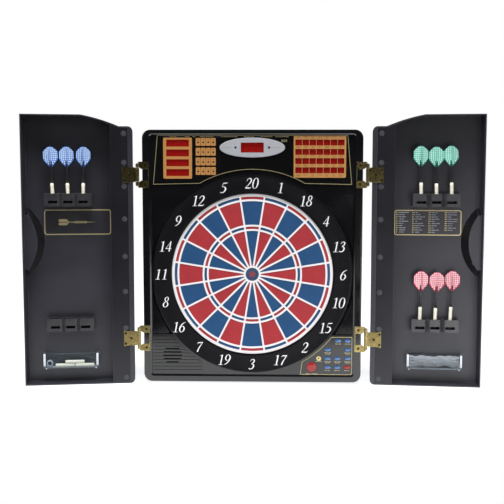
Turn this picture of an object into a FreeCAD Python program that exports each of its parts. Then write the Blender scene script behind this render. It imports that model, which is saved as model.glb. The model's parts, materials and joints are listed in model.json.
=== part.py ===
import FreeCAD, Part
import math
import os
from FreeCAD import Vector

# Electronic dartboard in a shallow wall unit with two folding doors. Millimetres.
# Origin: centre of the flat back of the unit, on the wall. +Z up, +X to the player's right.
# The front of the unit faces -Y, so a point nearer the player has a smaller y.

# ---- driving dimensions: the unit -----------------------------------------------------------
unit_w, unit_h, unit_d = 534.0, 618.0, 50.0
corner_r = 20.0
wall = 2.5
gap = 0.2                     # ordinary clearance between separate pieces
clear_cut = 1.0               # how far a cutting tool runs past the piece that it cuts
cover_d = 14.0                # depth of the rear cover; the front housing covers the rest
frame_w = 20.0                # raised border round the front
frame_bevel = 3.0
deck_y = -44.0                # front of the deck inside the raised border
deck_low, deck_high = -292.0, 297.0
board_t = 1.6                 # thickness of both circuit boards

# ---- target ---------------------------------------------------------------------------------
target_z = -42.4              # height of the bull's-eye
sector_count = 20
spider_r = 197.0
spider_front, spider_back = -43.0, -24.0
wire_w = 4.2                  # width of the web's radial wires
ring_bands = {                # inner and outer radius of each ring of cells
    "double_segments": (183.8, 190.4),
    "outer_single_segments": (121.8, 179.2),
    "triple_segments": (111.2, 117.3),
    "inner_single_segments": (20.8, 106.8)}
outer_bull_r, inner_bull_r = 16.3, 7.4
segment_gap = 0.3
segment_front = -42.2
flange_w, flange_t = 1.5, 2.0
segment_travel = 1.2
catch_inner_r, catch_outer_r = 197.5, 243.0
catch_back, catch_front = -44.1, -48.0
sheet_r = 205.0
rubber_t, sensor_t = 2.0, 0.6
tail_w, tail_x = 36.0, 50.0   # flat tails of the sensor sheet
backing_r, backing_t = 218.0, 5.0
lug_r, lug_circle_r, lug_count = 4.4, 212.0, 8

# ---- side pockets, grille and control panel ---------------------------------------------------
pocket_depth, pocket_curve_r = 6.0, 248.0
pocket_wall_front_r, pocket_wall_back_r = 245.0, 252.0
pocket_top, pocket_slope_end, pocket_low = 162.0, 111.0, -192.0
pocket_bend_z, pocket_bend_depth = 135.0, 1.55
plate_proud, plate_high, plate_turn_z = 0.5, -196.0, -255.0
speaker_x, speaker_z, speaker_r = -197.0, -243.0, 28.5
rib_pitch, rib_h, rib_count = 8.4, 3.6, 11
rib_first_z, rib_proud, rib_end_x = -282.0, 2.6, -124.0
slot_area_r, slot_half_h = 23.5, 1.2

small_keys = {
    "sound_button": (211.4, -206.2), "handicap_button": (234.9, -206.2),
    "double_button": (186.0, -228.2), "player_button": (235.0, -228.2),
    "game_button": (186.0, -250.3), "option_button": (209.7, -250.3),
    "miss_button": (234.9, -250.3), "undo_button": (186.0, -272.4),
    "score_button": (209.7, -272.4), "power_button": (234.0, -272.4)}
start_key = (146.3, -272.3)
start_key_r, start_key_proud = 12.4, 3.8
key_half_w, key_half_h, key_proud = 7.6, 4.1, 2.8
key_clear = 0.3
key_flange_w, key_flange_t, key_travel = 1.2, 1.2, 1.5
key_mat_t, dome_h = 1.2, 1.6
phone_x, phone_z = 163.8, -249.9
phone_bore_r, phone_bore_len, phone_proud = 1.8, 14.0, 2.6
phone_bush_r, phone_nut_r, phone_body_half = 3.9, 6.0, 6.0
power_x, power_y = 205.0, -26.0
power_pin_r, power_bore_r, power_depth = 1.05, 3.2, 9.5
power_nose_r, power_body_h = 4.6, 13.0

# ---- display ----------------------------------------------------------------------------------
fascia_t, fascia_arc_r = 2.5, 254.0
fascia_low, fascia_high = 176.0, 296.5
fascia_half_low, fascia_half_high, fascia_arc_half = 241.5, 231.0, 129.0
score_x0, score_x1, score_half_h = -208.2, -153.3, 8.3
score_rows = (276.7, 253.1, 229.5, 205.9)
grid_x0, grid_pitch, grid_count, grid_w, grid_half_h = 104.2, 17.0, 7, 15.0, 6.9
grid_rows = (278.2, 255.7, 233.7, 211.7)
lamp_x0, lamp_pitch, lamp_count, lamp_r = -131.0, 12.3, 4, 1.6
lamp_rows = (278.6, 255.0, 231.5, 208.6)
match_z, match_rx, match_rz, match_t = 266.0, 79.0, 23.8, 1.8
match_window_half_w, match_window_half_h = 27.7, 12.0
match_lamp_x, match_lamp_r = 40.5, 2.9
display_openings = [(-214.0, -146.0, 194.0, 290.5), (-140.0, -86.0, 204.0, 290.5),
                    (-64.0, 64.0, 246.0, 286.0), (98.5, 227.5, 198.0, 290.5)]
filter_areas = [(-212.0, -148.0, 197.0, 287.5), (-34.0, 34.0, 249.0, 283.0),
                (100.5, 225.5, 201.0, 287.5)]
filter_t = 1.2
module_back = -34.6
main_board_area = (-222.0, 228.0, 188.0, 292.0)

# ---- fasteners, posts and keyholes ------------------------------------------------------------
screw_head_r, screw_head_h, screw_shank_r = 3.2, 2.0, 1.5
pilot_r, through_r = screw_shank_r + 0.05, screw_shank_r + 0.2
case_screw_len, leaf_screw_len = 17.0, 9.0
screw_boss_r, post_r = 3.0, 4.6
post_x, post_zs = 256.2, (-292.0, -146.0, 0.0, 146.0, 292.0)
well_r, well_floor = screw_head_r + 0.5, -9.0
keyhole_x, keyhole_z = 200.0, 250.0
keyhole_r, keyhole_slot_r, keyhole_len = 5.0, 2.3, 12.0
cover_rib_h, cover_rib_t = 7.0, 2.0
cover_rib_zs = (-220.0, -120.0, -20.0, 80.0, 180.0)
cover_rib_xs = (-150.0, -50.0, 50.0, 150.0)

# ---- hinges -----------------------------------------------------------------------------------
hinge_x, hinge_y = 278.0, -51.8
hinge_zs = (200.5, -200.5)
barrel_r, pin_r, pin_gap, leaf_t = 4.4, 1.6, 0.04, 1.6
pin_head_r, pin_head_h = 3.2, 1.3
pad_x, pad_end_x, leaf_screw_x, leaf_screw_z = 251.0, 269.0, 260.0, 23.0
arm_low, arm_neck, arm_high, knuckle_end = 13.8, 17.0, 31.5, 26.0
door_knuckle = 16.4
door_leaf_screws = [(33.0, 13.0), (33.0, -13.0), (19.2, 0.0)]
rest_fold = {-1: 8.5, 1: 4.9}  # degrees short of flat open: left door (-1), right door (1)

# ---- doors, measured from the hinge axis with the door flat open ------------------------------
door_near, door_far, door_far_back = 11.0, 277.0, 273.4
door_rim, door_back, door_wall = 1.8, 46.8, 2.6
door_low, door_shoulder, door_top = -313.0, 317.0, 345.0
slope_start, slope_end, slope_bow = 44.0, 135.0, 2.6
door_corner_r = 12.0
rail_near, rail_far, rail_rise = 22.4, 65.0, 8.2
post_mark_s, post_mark_r, post_mark_depth = 32.3, 6.5, 0.4
post_mark_zs = (299.8, 230.2, 172.4, 93.3, 2.2, -84.5, -174.8, -298.2)
grip_z, grip_half, grip_reach = 37.5, 83.0, 49.5
grip_front, grip_face_half, grip_face_reach = 16.0, 66.0, 34.0

# ---- dart holders, darts and trays --------------------------------------------------------------
holder_places = {              # side and row, then the holder's middle and top
    (-1, "upper"): (168.2, 155.0), (1, "upper"): (165.6, 155.0),
    (-1, "lower"): (167.2, -152.2), (1, "lower"): (167.2, -151.4)}
holder_w, holder_h, bay_pitch = 113.5, 31.0, 36.4
socket_h, socket_floor_t, holder_front, socket_wall = 17.0, 1.5, 16.2, 2.2
groove_half, groove_depth = 6.5, 6.0
slot_half_w, slot_h, shelf_t = 11.4, 7.0, 3.0
dart_y = 24.0
tip_hole_r, tip_len, collar_h = 2.3, 26.5, 1.6
dart_barrel_r = 4.3
flight_h, flight_w, flight_t = 49.0, 35.0, 0.5
dart_sets = {      # side, holder row, barrel length, then lean, turn and rise of each dart
    "blue": (-1, "upper", 39.0, ((-0.9, 9.0, 0.0), (1.3, -14.0, 0.0), (2.2, 4.0, 0.0))),
    "green": (1, "upper", 39.0, ((-1.2, 6.0, 2.0), (-1.0, -8.0, 0.0), (-1.8, 12.0, 2.4))),
    "pink": (1, "lower", 42.0, ((0.9, 10.0, 2.0), (1.8, -6.0, 0.0), (2.2, -15.0, 3.4)))}
tray_s0, tray_s1, tray_low, tray_high = 101.0, 234.4, -275.0, -239.0
tray_front, tray_wall = 19.0, 1.6
tray_end_w, tray_end_proud = 5.0, 0.8
spare_r, spare_len = 4.0, 46.0
washer_roll_r = 9.0

# ---- worked out from the dimensions above -------------------------------------------------------
X, Y, Z = Vector(1, 0, 0), Vector(0, 1, 0), Vector(0, 0, 1)
origin = Vector(0, 0, 0)
in_front = -unit_d - 10.0      # a depth well in front of the unit, for cutting tools
deck_back = deck_y + wall
under_deck = deck_back + gap
deck_half = unit_w / 2 - frame_w
flange_front = spider_back + gap
flange_back = flange_front + flange_t
rubber_front = flange_back + segment_travel + gap
sensor_front = rubber_front + rubber_t + gap / 2
backing_front = sensor_front + sensor_t + gap / 2
backing_back = backing_front + backing_t
fascia_back = deck_y - gap / 2
fascia_front = fascia_back - fascia_t
filter_front = deck_y + gap / 2
module_front = filter_front + filter_t + gap
main_board_front = module_back + gap / 2
main_board_back = main_board_front + board_t
key_front = deck_y - key_proud
key_flange_back = under_deck + key_flange_t
dome_front = key_flange_back + key_travel + gap / 2
key_mat_front = dome_front + dome_h
key_mat_back = key_mat_front + key_mat_t
key_board_front = key_mat_back + gap / 2
key_board_back = key_board_front + board_t
phone_front = deck_y - phone_proud
unit_floor = -unit_h / 2
socket_floor = unit_floor + wall + gap
door_floor = door_back - door_wall
on_floor = door_floor - gap

score_windows = [(score_x0, score_x1, z - score_half_h, z + score_half_h) for z in score_rows]
grid_windows = [(grid_x0 + grid_pitch * i, grid_x0 + grid_pitch * i + grid_w,
                 z - grid_half_h, z + grid_half_h) for z in grid_rows for i in range(grid_count)]
match_window = (-match_window_half_w, match_window_half_w,
                match_z - match_window_half_h, match_z + match_window_half_h)
lamps = [(lamp_x0 + lamp_pitch * i, z) for z in lamp_rows for i in range(lamp_count)]
match_lamps = [(-match_lamp_x, match_z), (match_lamp_x, match_z)]
case_posts = [(side * post_x, z) for side in (-1, 1) for z in post_zs]
rib_zs = [rib_first_z + rib_pitch * i for i in range(rib_count)]
sector_turns = [360.0 / sector_count * i for i in range(sector_count)]


# ---- small tools --------------------------------------------------------------------------------
def save(name, solids):
    """Write one node. A list becomes a group of separate solids."""
    shape = Part.makeCompound(solids) if isinstance(solids, list) else solids
    shape.exportStep("parts/" + name + ".step")


def box(x0, x1, y0, y1, z0, z1):
    return Part.makeBox(x1 - x0, y1 - y0, z1 - z0, Vector(x0, y0, z0))


def rod(x, z, r, y0, y1):
    """Round bar along Y."""
    return Part.makeCylinder(r, y1 - y0, Vector(x, y0, z), Y)


def post(x, y, r, z0, z1):
    """Round bar along Z."""
    return Part.makeCylinder(r, z1 - z0, Vector(x, y, z0), Z)


def bar(x0, x1, y, z, r):
    """Round bar along X."""
    return Part.makeCylinder(r, x1 - x0, Vector(x0, y, z), X)


def ball(x, y, z, r):
    return Part.makeSphere(r, Vector(x, y, z))


def polygon(points, y=0.0):
    """Closed outline in an XZ plane. A point given as (x, z, via_x, via_z) is reached by an arc
    through the second pair."""
    edges = []
    start = points[0]
    for end in points[1:] + [start[:2]]:
        a = Vector(start[0], y, start[1])
        b = Vector(end[0], y, end[1])
        if len(end) == 4:
            edges.append(Part.Arc(a, Vector(end[2], y, end[3]), b).toShape())
        elif a.distanceToPoint(b) > 1e-6:
            edges.append(Part.makeLine(a, b))
        start = end
    return Part.Wire(edges)


def bulge(r):
    """How far the middle of a quarter-round corner lies inside the square corner, on each axis."""
    return r * (1 - math.sqrt(0.5))


def round_rect(x0, x1, z0, z1, r, y=0.0):
    d = bulge(r)
    return polygon([
        (x0 + r, z0), (x1 - r, z0), (x1, z0 + r, x1 - d, z0 + d),
        (x1, z1 - r), (x1 - r, z1, x1 - d, z1 - d),
        (x0 + r, z1), (x0, z1 - r, x0 + d, z1 - d),
        (x0, z0 + r), (x0 + r, z0, x0 + d, z0 + d)], y)


def slab(outline, y0, y1):
    """Extrude a closed outline of the XZ plane between two depths."""
    face = Part.Face(outline)
    face.translate(Vector(0, y0, 0))
    return face.extrude(Vector(0, y1 - y0, 0))


def oval(x, z, half_w, half_h, y0, y1):
    """Bar along Y with flat top and bottom and round ends."""
    left, right = x - half_w + half_h, x + half_w - half_h
    return slab(polygon([(left, z - half_h), (right, z - half_h),
                         (right, z + half_h, x + half_w, z), (left, z + half_h),
                         (left, z - half_h, x - half_w, z)]), y0, y1)


def fuse(solids):
    return solids[0].multiFuse(solids[1:]).removeSplitter()


def turned(profile, x=0.0, z=0.0, y=0.0):
    """Solid of revolution about a line along Y. Profile points are (radius, y)."""
    points = [Vector(r, depth, 0) for r, depth in profile]
    face = Part.Face(Part.makePolygon(points + points[:1]))
    solid = face.revolve(origin, Y, 360)
    solid.translate(Vector(x, y, z))
    return solid


def softened(solid, r):
    """Round the edges of the front face."""
    y = solid.BoundBox.YMin
    return solid.makeFillet(r, [e for e in solid.Edges if e.BoundBox.YMax < y + 0.01])


def on_target(r, degrees):
    """Point on a circle round the bull's-eye. Zero degrees is up, growing clockwise."""
    a = math.radians(90 - degrees)
    return r * math.cos(a), target_z + r * math.sin(a)


def target_disc(r, y0, y1):
    return rod(0, target_z, r, y0, y1)


lugs = [on_target(lug_circle_r, 360.0 / lug_count * (i + 0.5)) for i in range(lug_count)]


# ---- target -------------------------------------------------------------------------------------
def ring_sector(r0, r1, turn, side, y0, y1):
    """Sector between two radial wires. Side is the distance kept from each wire's centre line,
    so both flanks run parallel to the wires."""
    half = 180.0 / sector_count

    def corner(r, sign):
        return on_target(r, turn + sign * (half - math.degrees(math.asin(side / r))))

    outline = polygon([corner(r0, -1), corner(r1, -1), corner(r1, 1) + on_target(r1, turn),
                       corner(r0, 1), corner(r0, -1) + on_target(r0, turn)])
    return slab(outline, y0, y1)


def make_spider():
    """White web with one cell per scoring segment, and a flange that sits behind the deck."""
    disc = target_disc(spider_r, spider_front, spider_back)
    y0, y1 = spider_front - clear_cut, spider_back + clear_cut
    cells = [ring_sector(r0, r1, turn, wire_w / 2, y0, y1)
             for r0, r1 in ring_bands.values() for turn in sector_turns]
    cells.append(target_disc(outer_bull_r, y0, y1))
    flange = target_disc(sheet_r + 1.0, under_deck, under_deck + wall)
    flange = flange.cut(target_disc(spider_r - wall, under_deck - 1, under_deck + wall + 1))
    return fuse([disc.cut(cells), flange])


def make_segment(r0, r1, turn):
    """Segment with a flange at its back that keeps it behind the web."""
    side = wire_w / 2 + segment_gap
    body = ring_sector(r0 + segment_gap, r1 - segment_gap, turn, side, segment_front, flange_back)
    flange = ring_sector(r0 - flange_w, r1 + flange_w, turn, side - flange_w, flange_front,
                         flange_back)
    return fuse([body, flange])


def make_bull():
    """Outer bull ring and the round inner bull inside it."""
    outer = fuse([target_disc(outer_bull_r - segment_gap, segment_front, flange_back),
                  target_disc(outer_bull_r + flange_w, flange_front, flange_back)])
    hole = target_disc(inner_bull_r + segment_gap, segment_front - clear_cut,
                       flange_back + clear_cut)
    return [outer.cut(hole), target_disc(inner_bull_r, segment_front, flange_back)]


def make_catch_ring():
    """Number ring: a shallow rise from the scoring face to a rounded outer edge."""
    r0, r1 = catch_inner_r, catch_outer_r
    return turned([(r0, catch_back), (r0, catch_back - 0.8), (r0 + 3, catch_front + 1.6),
                   (r1 - 2.5, catch_front), (r1, catch_front + 1.5), (r1, catch_back)],
                  0, target_z)


def make_sensor_sheet():
    """Printed contact sheet with two flat tails that run up to the main board."""
    back = sensor_front + sensor_t
    disc = target_disc(sheet_r, sensor_front, back)
    tails = [box(x - tail_w / 2, x + tail_w / 2, sensor_front, back, target_z + sheet_r - 20,
                 main_board_area[2] + 12) for x in (-tail_x, tail_x)]
    return fuse([disc] + tails)


def make_backing_board():
    disc = target_disc(backing_r, backing_front, backing_back)
    return disc.cut([rod(x, z, through_r, backing_front - clear_cut, backing_back + clear_cut)
                     for x, z in lugs])


# ---- display --------------------------------------------------------------------------------------
def make_fascia():
    """Black panel with display windows, its lower edge curved round the target."""
    low = fascia_low + 2.0
    panel = slab(polygon([
        (-fascia_half_low, fascia_low), (-fascia_arc_half, low),
        (fascia_arc_half, low, 0, target_z + fascia_arc_r), (fascia_half_low, fascia_low),
        (fascia_half_high, fascia_high), (-fascia_half_high, fascia_high)]),
        fascia_front, fascia_back)
    y0, y1 = fascia_front - clear_cut, fascia_back + clear_cut
    tools = [box(x0, x1, y0, y1, z0, z1)
             for x0, x1, z0, z1 in score_windows + grid_windows + [match_window]]
    tools += [rod(x, z, lamp_r + gap / 2, y0, y1) for x, z in lamps]
    tools += [rod(x, z, match_lamp_r + gap / 2, y0, y1) for x, z in match_lamps]
    return panel.cut(tools)


def make_filters():
    """Three red sheets behind the windows, inside the openings of the deck."""
    return [box(x0, x1, filter_front, filter_front + filter_t, z0, z1)
            for x0, x1, z0, z1 in filter_areas]


def make_match_bezel():
    """Silver oval with a window and two lamp holes."""
    face = Part.Face(Part.Wire(Part.Ellipse(origin, match_rx, match_rz).toShape()))
    face.rotate(origin, X, 90)
    solid = face.extrude(Vector(0, -match_t, 0))
    front_edges = [e for e in solid.Edges if e.BoundBox.YMax < -match_t + 0.01]
    solid = solid.makeChamfer(0.8, front_edges)
    solid.translate(Vector(0, fascia_front - gap / 4, match_z))
    x0, x1, z0, z1 = match_window
    tools = [box(x0, x1, in_front, fascia_back, z0, z1)]
    tools += [rod(x, z, match_lamp_r + gap / 2, in_front, fascia_back) for x, z in match_lamps]
    return solid.cut(tools)


def make_lamp(x, z, r, tip_y):
    """Indicator lamp with a rounded nose."""
    nose = [(0, 0), (r * 0.55, r * 0.12), (r * 0.88, r * 0.36), (r, r * 0.62), (0, r * 0.62)]
    stem = rod(x, z, r, tip_y + r * 0.6, module_back)
    return fuse([stem, turned(nose, x, z, tip_y)])


def make_digit_modules():
    """Digit blocks and indicator lamps that stand on the main board."""
    solids = [box(x0 - 1, x1 + 1, module_front, module_back, z0 - 1, z1 + 1)
              for x0, x1, z0, z1 in score_windows + [match_window]]
    solids += [box(x0 + gap, x1 - gap, module_front, module_back, z0, z1)
               for x0, x1, z0, z1 in grid_windows]
    solids += [make_lamp(x, z, lamp_r, fascia_front - 0.3) for x, z in lamps]
    solids += [make_lamp(x, z, match_lamp_r, fascia_front - 2.2) for x, z in match_lamps]
    return solids


def make_main_board():
    """Board behind the display, its chips, and the wiring loom that is soldered to it."""
    x0, x1, z0, z1 = main_board_area
    touch = 0.05
    board = box(x0, x1, main_board_front, main_board_back, z0, z1)
    chips = [box(x, x + w, main_board_back + touch, main_board_back + 2.4, z, z + h)
             for x, z, w, h in ((-20.0, 225.0, 28.0, 20.0), (60.0, 240.0, 18.0, 12.0),
                                (-120.0, 235.0, 24.0, 10.0))]
    ribbon_x, ribbon_half, ribbon_y, ribbon_t, plug_t = 235.0, 8.0, -31.6, 0.8, 2.4
    plug_z = z0 + 4.0
    ribbon = fuse([
        box(ribbon_x - ribbon_half, ribbon_x + ribbon_half, ribbon_y, ribbon_y + ribbon_t,
            -205.0, plug_z + 8.0),
        box(x1 - 10.0, ribbon_x - ribbon_half, main_board_back + touch, ribbon_y + plug_t, plug_z,
            plug_z + 12.0),
        box(ribbon_x - 9.0, ribbon_x + 9.0, ribbon_y, ribbon_y + plug_t, plug_z, plug_z + 12.0),
        box(ribbon_x - 9.0, ribbon_x + 9.0, key_board_back + touch, ribbon_y + plug_t, -214.0,
            -204.0)])
    lead_r, elbow_r, lead_x, lead_y, lead_top = 1.2, 1.6, -240.0, -30.0, z0 + 8.0
    lead_foot = speaker_back + 2.4
    speaker_lead = fuse([
        post(lead_x, lead_y, lead_r, speaker_z, lead_top),
        ball(lead_x, lead_y, lead_top, elbow_r), ball(lead_x, lead_y, speaker_z, elbow_r),
        bar(lead_x, x0 + 2.5, lead_y, lead_top, lead_r),
        rod(lead_x, speaker_z, lead_r, lead_y, lead_foot),
        ball(lead_x, lead_foot, speaker_z, elbow_r),
        bar(lead_x, speaker_x - 15.0, lead_foot, speaker_z, lead_r)])
    jack_top = socket_floor + power_body_h + touch
    turn_z = jack_top + 30.0
    power_lead = fuse([
        post(power_x, power_y, lead_r, jack_top, turn_z), ball(power_x, power_y, turn_z, elbow_r),
        rod(power_x, turn_z, lead_r, key_board_back + touch, power_y)])
    return [board] + chips + [ribbon, speaker_lead, power_lead]


# ---- control panel ----------------------------------------------------------------------------------
def make_small_key(x, z):
    cap = softened(oval(x, z, key_half_w, key_half_h, key_front, under_deck + 0.1), 1.0)
    flange = oval(x, z, key_half_w + key_flange_w, key_half_h + key_flange_w, under_deck,
                  key_flange_back)
    return fuse([cap, flange])


def make_start_key():
    x, z = start_key
    cap = softened(rod(x, z, start_key_r, deck_y - start_key_proud, under_deck + 0.1), 1.6)
    return fuse([cap, rod(x, z, start_key_r + key_flange_w, under_deck, key_flange_back)])


def key_area(inset):
    """Outline of the key mat and the key board, inside the lower right corner."""
    right, low, high = 245.0 - inset, -289.0 + inset, -198.0 - inset
    return polygon([(right, low), (right, high), (195.0, high), (133.0 + inset, low + 30),
                    (133.0 + inset, low)])


def jack_clearance():
    half = phone_body_half + 0.6
    return box(phone_x - half, phone_x + half, in_front, 0, phone_z - half, phone_z + half)


def make_key_mat():
    sheet = slab(key_area(1.0), key_mat_front, key_mat_back)
    dome = [(0, 0), (2.2, 0), (3.4, dome_h + 0.2), (0, dome_h + 0.2)]
    domes = [turned(dome, x, z, dome_front) for x, z in list(small_keys.values()) + [start_key]]
    return fuse([sheet] + domes).cut(jack_clearance())


def make_key_board():
    return slab(key_area(0.0), key_board_front, key_board_back).cut(jack_clearance())


def make_headphone_jack():
    """Bush through the deck with its body behind, and a ring nut in front."""
    bush = rod(phone_x, phone_z, phone_bush_r, phone_front, under_deck)
    bore_end = phone_front + phone_bore_len
    half = phone_body_half
    body = box(phone_x - half, phone_x + half, under_deck, bore_end + 1.5, phone_z - half,
               phone_z + half)
    bore = rod(phone_x, phone_z, phone_bore_r, phone_front - clear_cut, bore_end)
    nut = rod(phone_x, phone_z, phone_nut_r, phone_front + 0.4, deck_y - plate_proud - gap / 2)
    nut = nut.cut(rod(phone_x, phone_z, phone_bush_r + 0.05, in_front, 0))
    return [fuse([bush, body]).cut(bore), nut]


speaker_back = under_deck + 17.0


def make_speaker():
    """Frame, cone and magnet as one turned shape."""
    magnet_r = 14.0
    return turned([(0, 6), (10, 8), (24, 1.5), (24, 0), (speaker_r, 0), (speaker_r, 1.5),
                   (25.5, 2.5), (magnet_r, 10), (magnet_r, speaker_back - under_deck),
                   (0, speaker_back - under_deck)], speaker_x, speaker_z, under_deck)


def make_power_jack():
    """Socket that opens through the bottom wall, with the contact pin on its axis."""
    half_w, half_d = 7.0, 5.5
    body = box(power_x - half_w, power_x + half_w, power_y - half_d, power_y + half_d,
               socket_floor, socket_floor + power_body_h)
    nose = post(power_x, power_y, power_nose_r, unit_floor, socket_floor + 1)
    bore_end = unit_floor + power_depth
    bore = post(power_x, power_y, power_bore_r, unit_floor - clear_cut, bore_end)
    pin = post(power_x, power_y, power_pin_r, unit_floor + 1, bore_end + 1)
    return fuse([fuse([body, nose]).cut(bore), pin])


# ---- front housing and rear cover -----------------------------------------------------------------
def unit_outline(inset, y=0.0):
    return round_rect(-unit_w / 2 + inset, unit_w / 2 - inset, unit_floor + inset,
                      unit_h / 2 - inset, corner_r - inset, y)


def deck_outline(grow, y=0.0):
    return round_rect(-deck_half - grow, deck_half + grow, deck_low - grow, deck_high + grow,
                      4.0 + grow, y)


def pocket_tool(side, floor_y, grow):
    """Side pocket beside the target: a flat floor, a curved slope up to the display panel, and a
    slanted wall round the target."""
    low = pocket_low - grow
    bend = Part.Arc(Vector(0, deck_y - gap, pocket_top + grow),
                    Vector(0, deck_y + pocket_bend_depth + 0.9 * grow, pocket_bend_z + grow),
                    Vector(0, floor_y, pocket_slope_end + grow)).toShape()
    straight = [Vector(0, floor_y, pocket_slope_end + grow), Vector(0, floor_y, low),
                Vector(0, in_front, low), Vector(0, in_front, pocket_top + grow),
                Vector(0, deck_y - gap, pocket_top + grow)]
    lines = [Part.makeLine(a, b) for a, b in zip(straight, straight[1:])]
    near, far = 150.0 - grow, deck_half - 1.0 + grow
    face = Part.Face(Part.Wire([bend] + lines))
    face.translate(Vector(near if side > 0 else -far, 0, 0))
    prism = face.extrude(Vector(far - near, 0, 0))
    front_r, back_r = pocket_wall_front_r - grow, pocket_wall_back_r - grow
    return prism.cut(turned([(0, in_front - 1), (front_r, in_front - 1), (front_r, deck_y),
                             (back_r, floor_y), (back_r, 1), (0, 1)], 0.0, target_z))


def corner_plate(side):
    """Slightly raised plate in a lower corner, with one edge curved round the target. It carries
    the keys on the right and the sound grille on the left."""
    r = pocket_curve_r
    x_out, low = side * (deck_half - 1.0), deck_low + 1.0
    start_x = side * 117.0
    end_x = math.sqrt(r ** 2 - (plate_high - target_z) ** 2)
    turn_x = math.sqrt(r ** 2 - (plate_turn_z - target_z) ** 2)
    angle = (math.atan2(plate_high - target_z, end_x)
             + math.atan2(plate_turn_z - target_z, turn_x)) / 2
    middle = (side * r * math.cos(angle), target_z + r * math.sin(angle))
    return slab(polygon([(start_x, low), (x_out, low), (x_out, plate_high),
                         (side * end_x, plate_high), (side * turn_x, plate_turn_z) + middle]),
                deck_y - plate_proud, deck_y + 0.1)


def speaker_ribs():
    """Level ribs of the sound grille, up to the curve round the target."""
    border = -deck_half + 3.0
    curve = target_disc(pocket_curve_r + 3.0, in_front, 0)
    bars = [box(border, rib_end_x, deck_y - rib_proud, deck_y, z - rib_h / 2, z + rib_h / 2)
            for z in rib_zs]
    return [solid.cut(curve) for solid in bars]


def speaker_slots():
    """Sound slots between the ribs, each as long as the loudspeaker's cone is wide there."""
    slots = []
    for rib_z in rib_zs[:-1]:
        middle = rib_z + rib_pitch / 2
        chord = slot_area_r ** 2 - (middle - speaker_z) ** 2
        if chord > slot_half_h ** 2:
            half = math.sqrt(chord)
            slots.append(box(speaker_x - half, speaker_x + half, in_front, deck_back + clear_cut,
                             middle - slot_half_h, middle + slot_half_h))
    return slots


def hinge_screw_places():
    return [(side * leaf_screw_x, z + way * leaf_screw_z)
            for side in (-1, 1) for z in hinge_zs for way in (-1, 1)]


def housing_shell():
    """Side walls, raised frame with a bevelled inner edge, and the deck."""
    block = softened(slab(unit_outline(0), -unit_d, -cover_d - gap), 3.0)
    bevel_end = -unit_d + frame_bevel
    recess = Part.makeLoft([deck_outline(frame_bevel + 0.5, -unit_d - 0.5),
                            deck_outline(0.0, bevel_end)], True)
    recess = recess.fuse(slab(deck_outline(0.0), bevel_end - 0.01, deck_y))
    inside = slab(unit_outline(wall), deck_back, -cover_d + clear_cut)
    under_frame = slab(unit_outline(wall), -unit_d + wall, deck_back + clear_cut).cut(
        slab(deck_outline(wall), -unit_d, 0))
    return block.cut([recess, inside, under_frame])


def housing_posts():
    """Posts for the case screws, lugs for the backing board, bosses for the hinge screws."""
    frame_back = -unit_d + wall - 0.1
    posts = [rod(x, z, post_r, frame_back, -cover_d - gap) for x, z in case_posts]
    posts += [rod(x, z, lug_r, deck_back - 0.1, backing_front - gap) for x, z in lugs]
    posts += [rod(x, z, screw_boss_r, frame_back, -unit_d + leaf_screw_len + 1)
              for x, z in hinge_screw_places()]
    return posts


def make_front_housing():
    sides = (-1, 1)
    floor_y = deck_y + pocket_depth
    pans = [pocket_tool(side, floor_y + wall, wall).common(slab(unit_outline(1.0), deck_y, 0))
            for side in sides]
    shell = housing_shell().multiFuse(pans)
    shell = shell.cut([pocket_tool(side, floor_y, 0.0) for side in sides])
    shell = shell.multiFuse(housing_posts() + [corner_plate(side) for side in sides]
                            + speaker_ribs())
    past_deck = deck_back + clear_cut
    tools = [target_disc(catch_inner_r, in_front, 0)]
    tools += [box(x0, x1, in_front, past_deck, z0, z1) for x0, x1, z0, z1 in display_openings]
    tools += [oval(x, z, key_half_w + key_clear, key_half_h + key_clear, in_front, past_deck)
              for x, z in small_keys.values()]
    tools.append(rod(start_key[0], start_key[1], start_key_r + key_clear, in_front, past_deck))
    tools.append(rod(phone_x, phone_z, phone_bush_r + 0.1, in_front, past_deck))
    tools.append(post(power_x, power_y, power_nose_r + 0.1, unit_floor - clear_cut,
                      unit_floor + wall + clear_cut))
    tools += speaker_slots()
    pilot_front = well_floor - case_screw_len - 9.0
    tools += [rod(x, z, pilot_r, pilot_front, 0) for x, z in case_posts + lugs]
    tools += [rod(x, z, pilot_r, in_front, -unit_d + leaf_screw_len)
              for x, z in hinge_screw_places()]
    return shell.cut(tools).removeSplitter()


def keyhole_pad(x, r, y0, y1):
    """Upright oval round a keyhole, from the entry circle to the top of its slot."""
    z0, z1 = keyhole_z, keyhole_z + keyhole_len
    return slab(polygon([(x - r, z0), (x + r, z0, x, z0 - r), (x + r, z1),
                         (x - r, z1, x, z1 + r)]), y0, y1)


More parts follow.
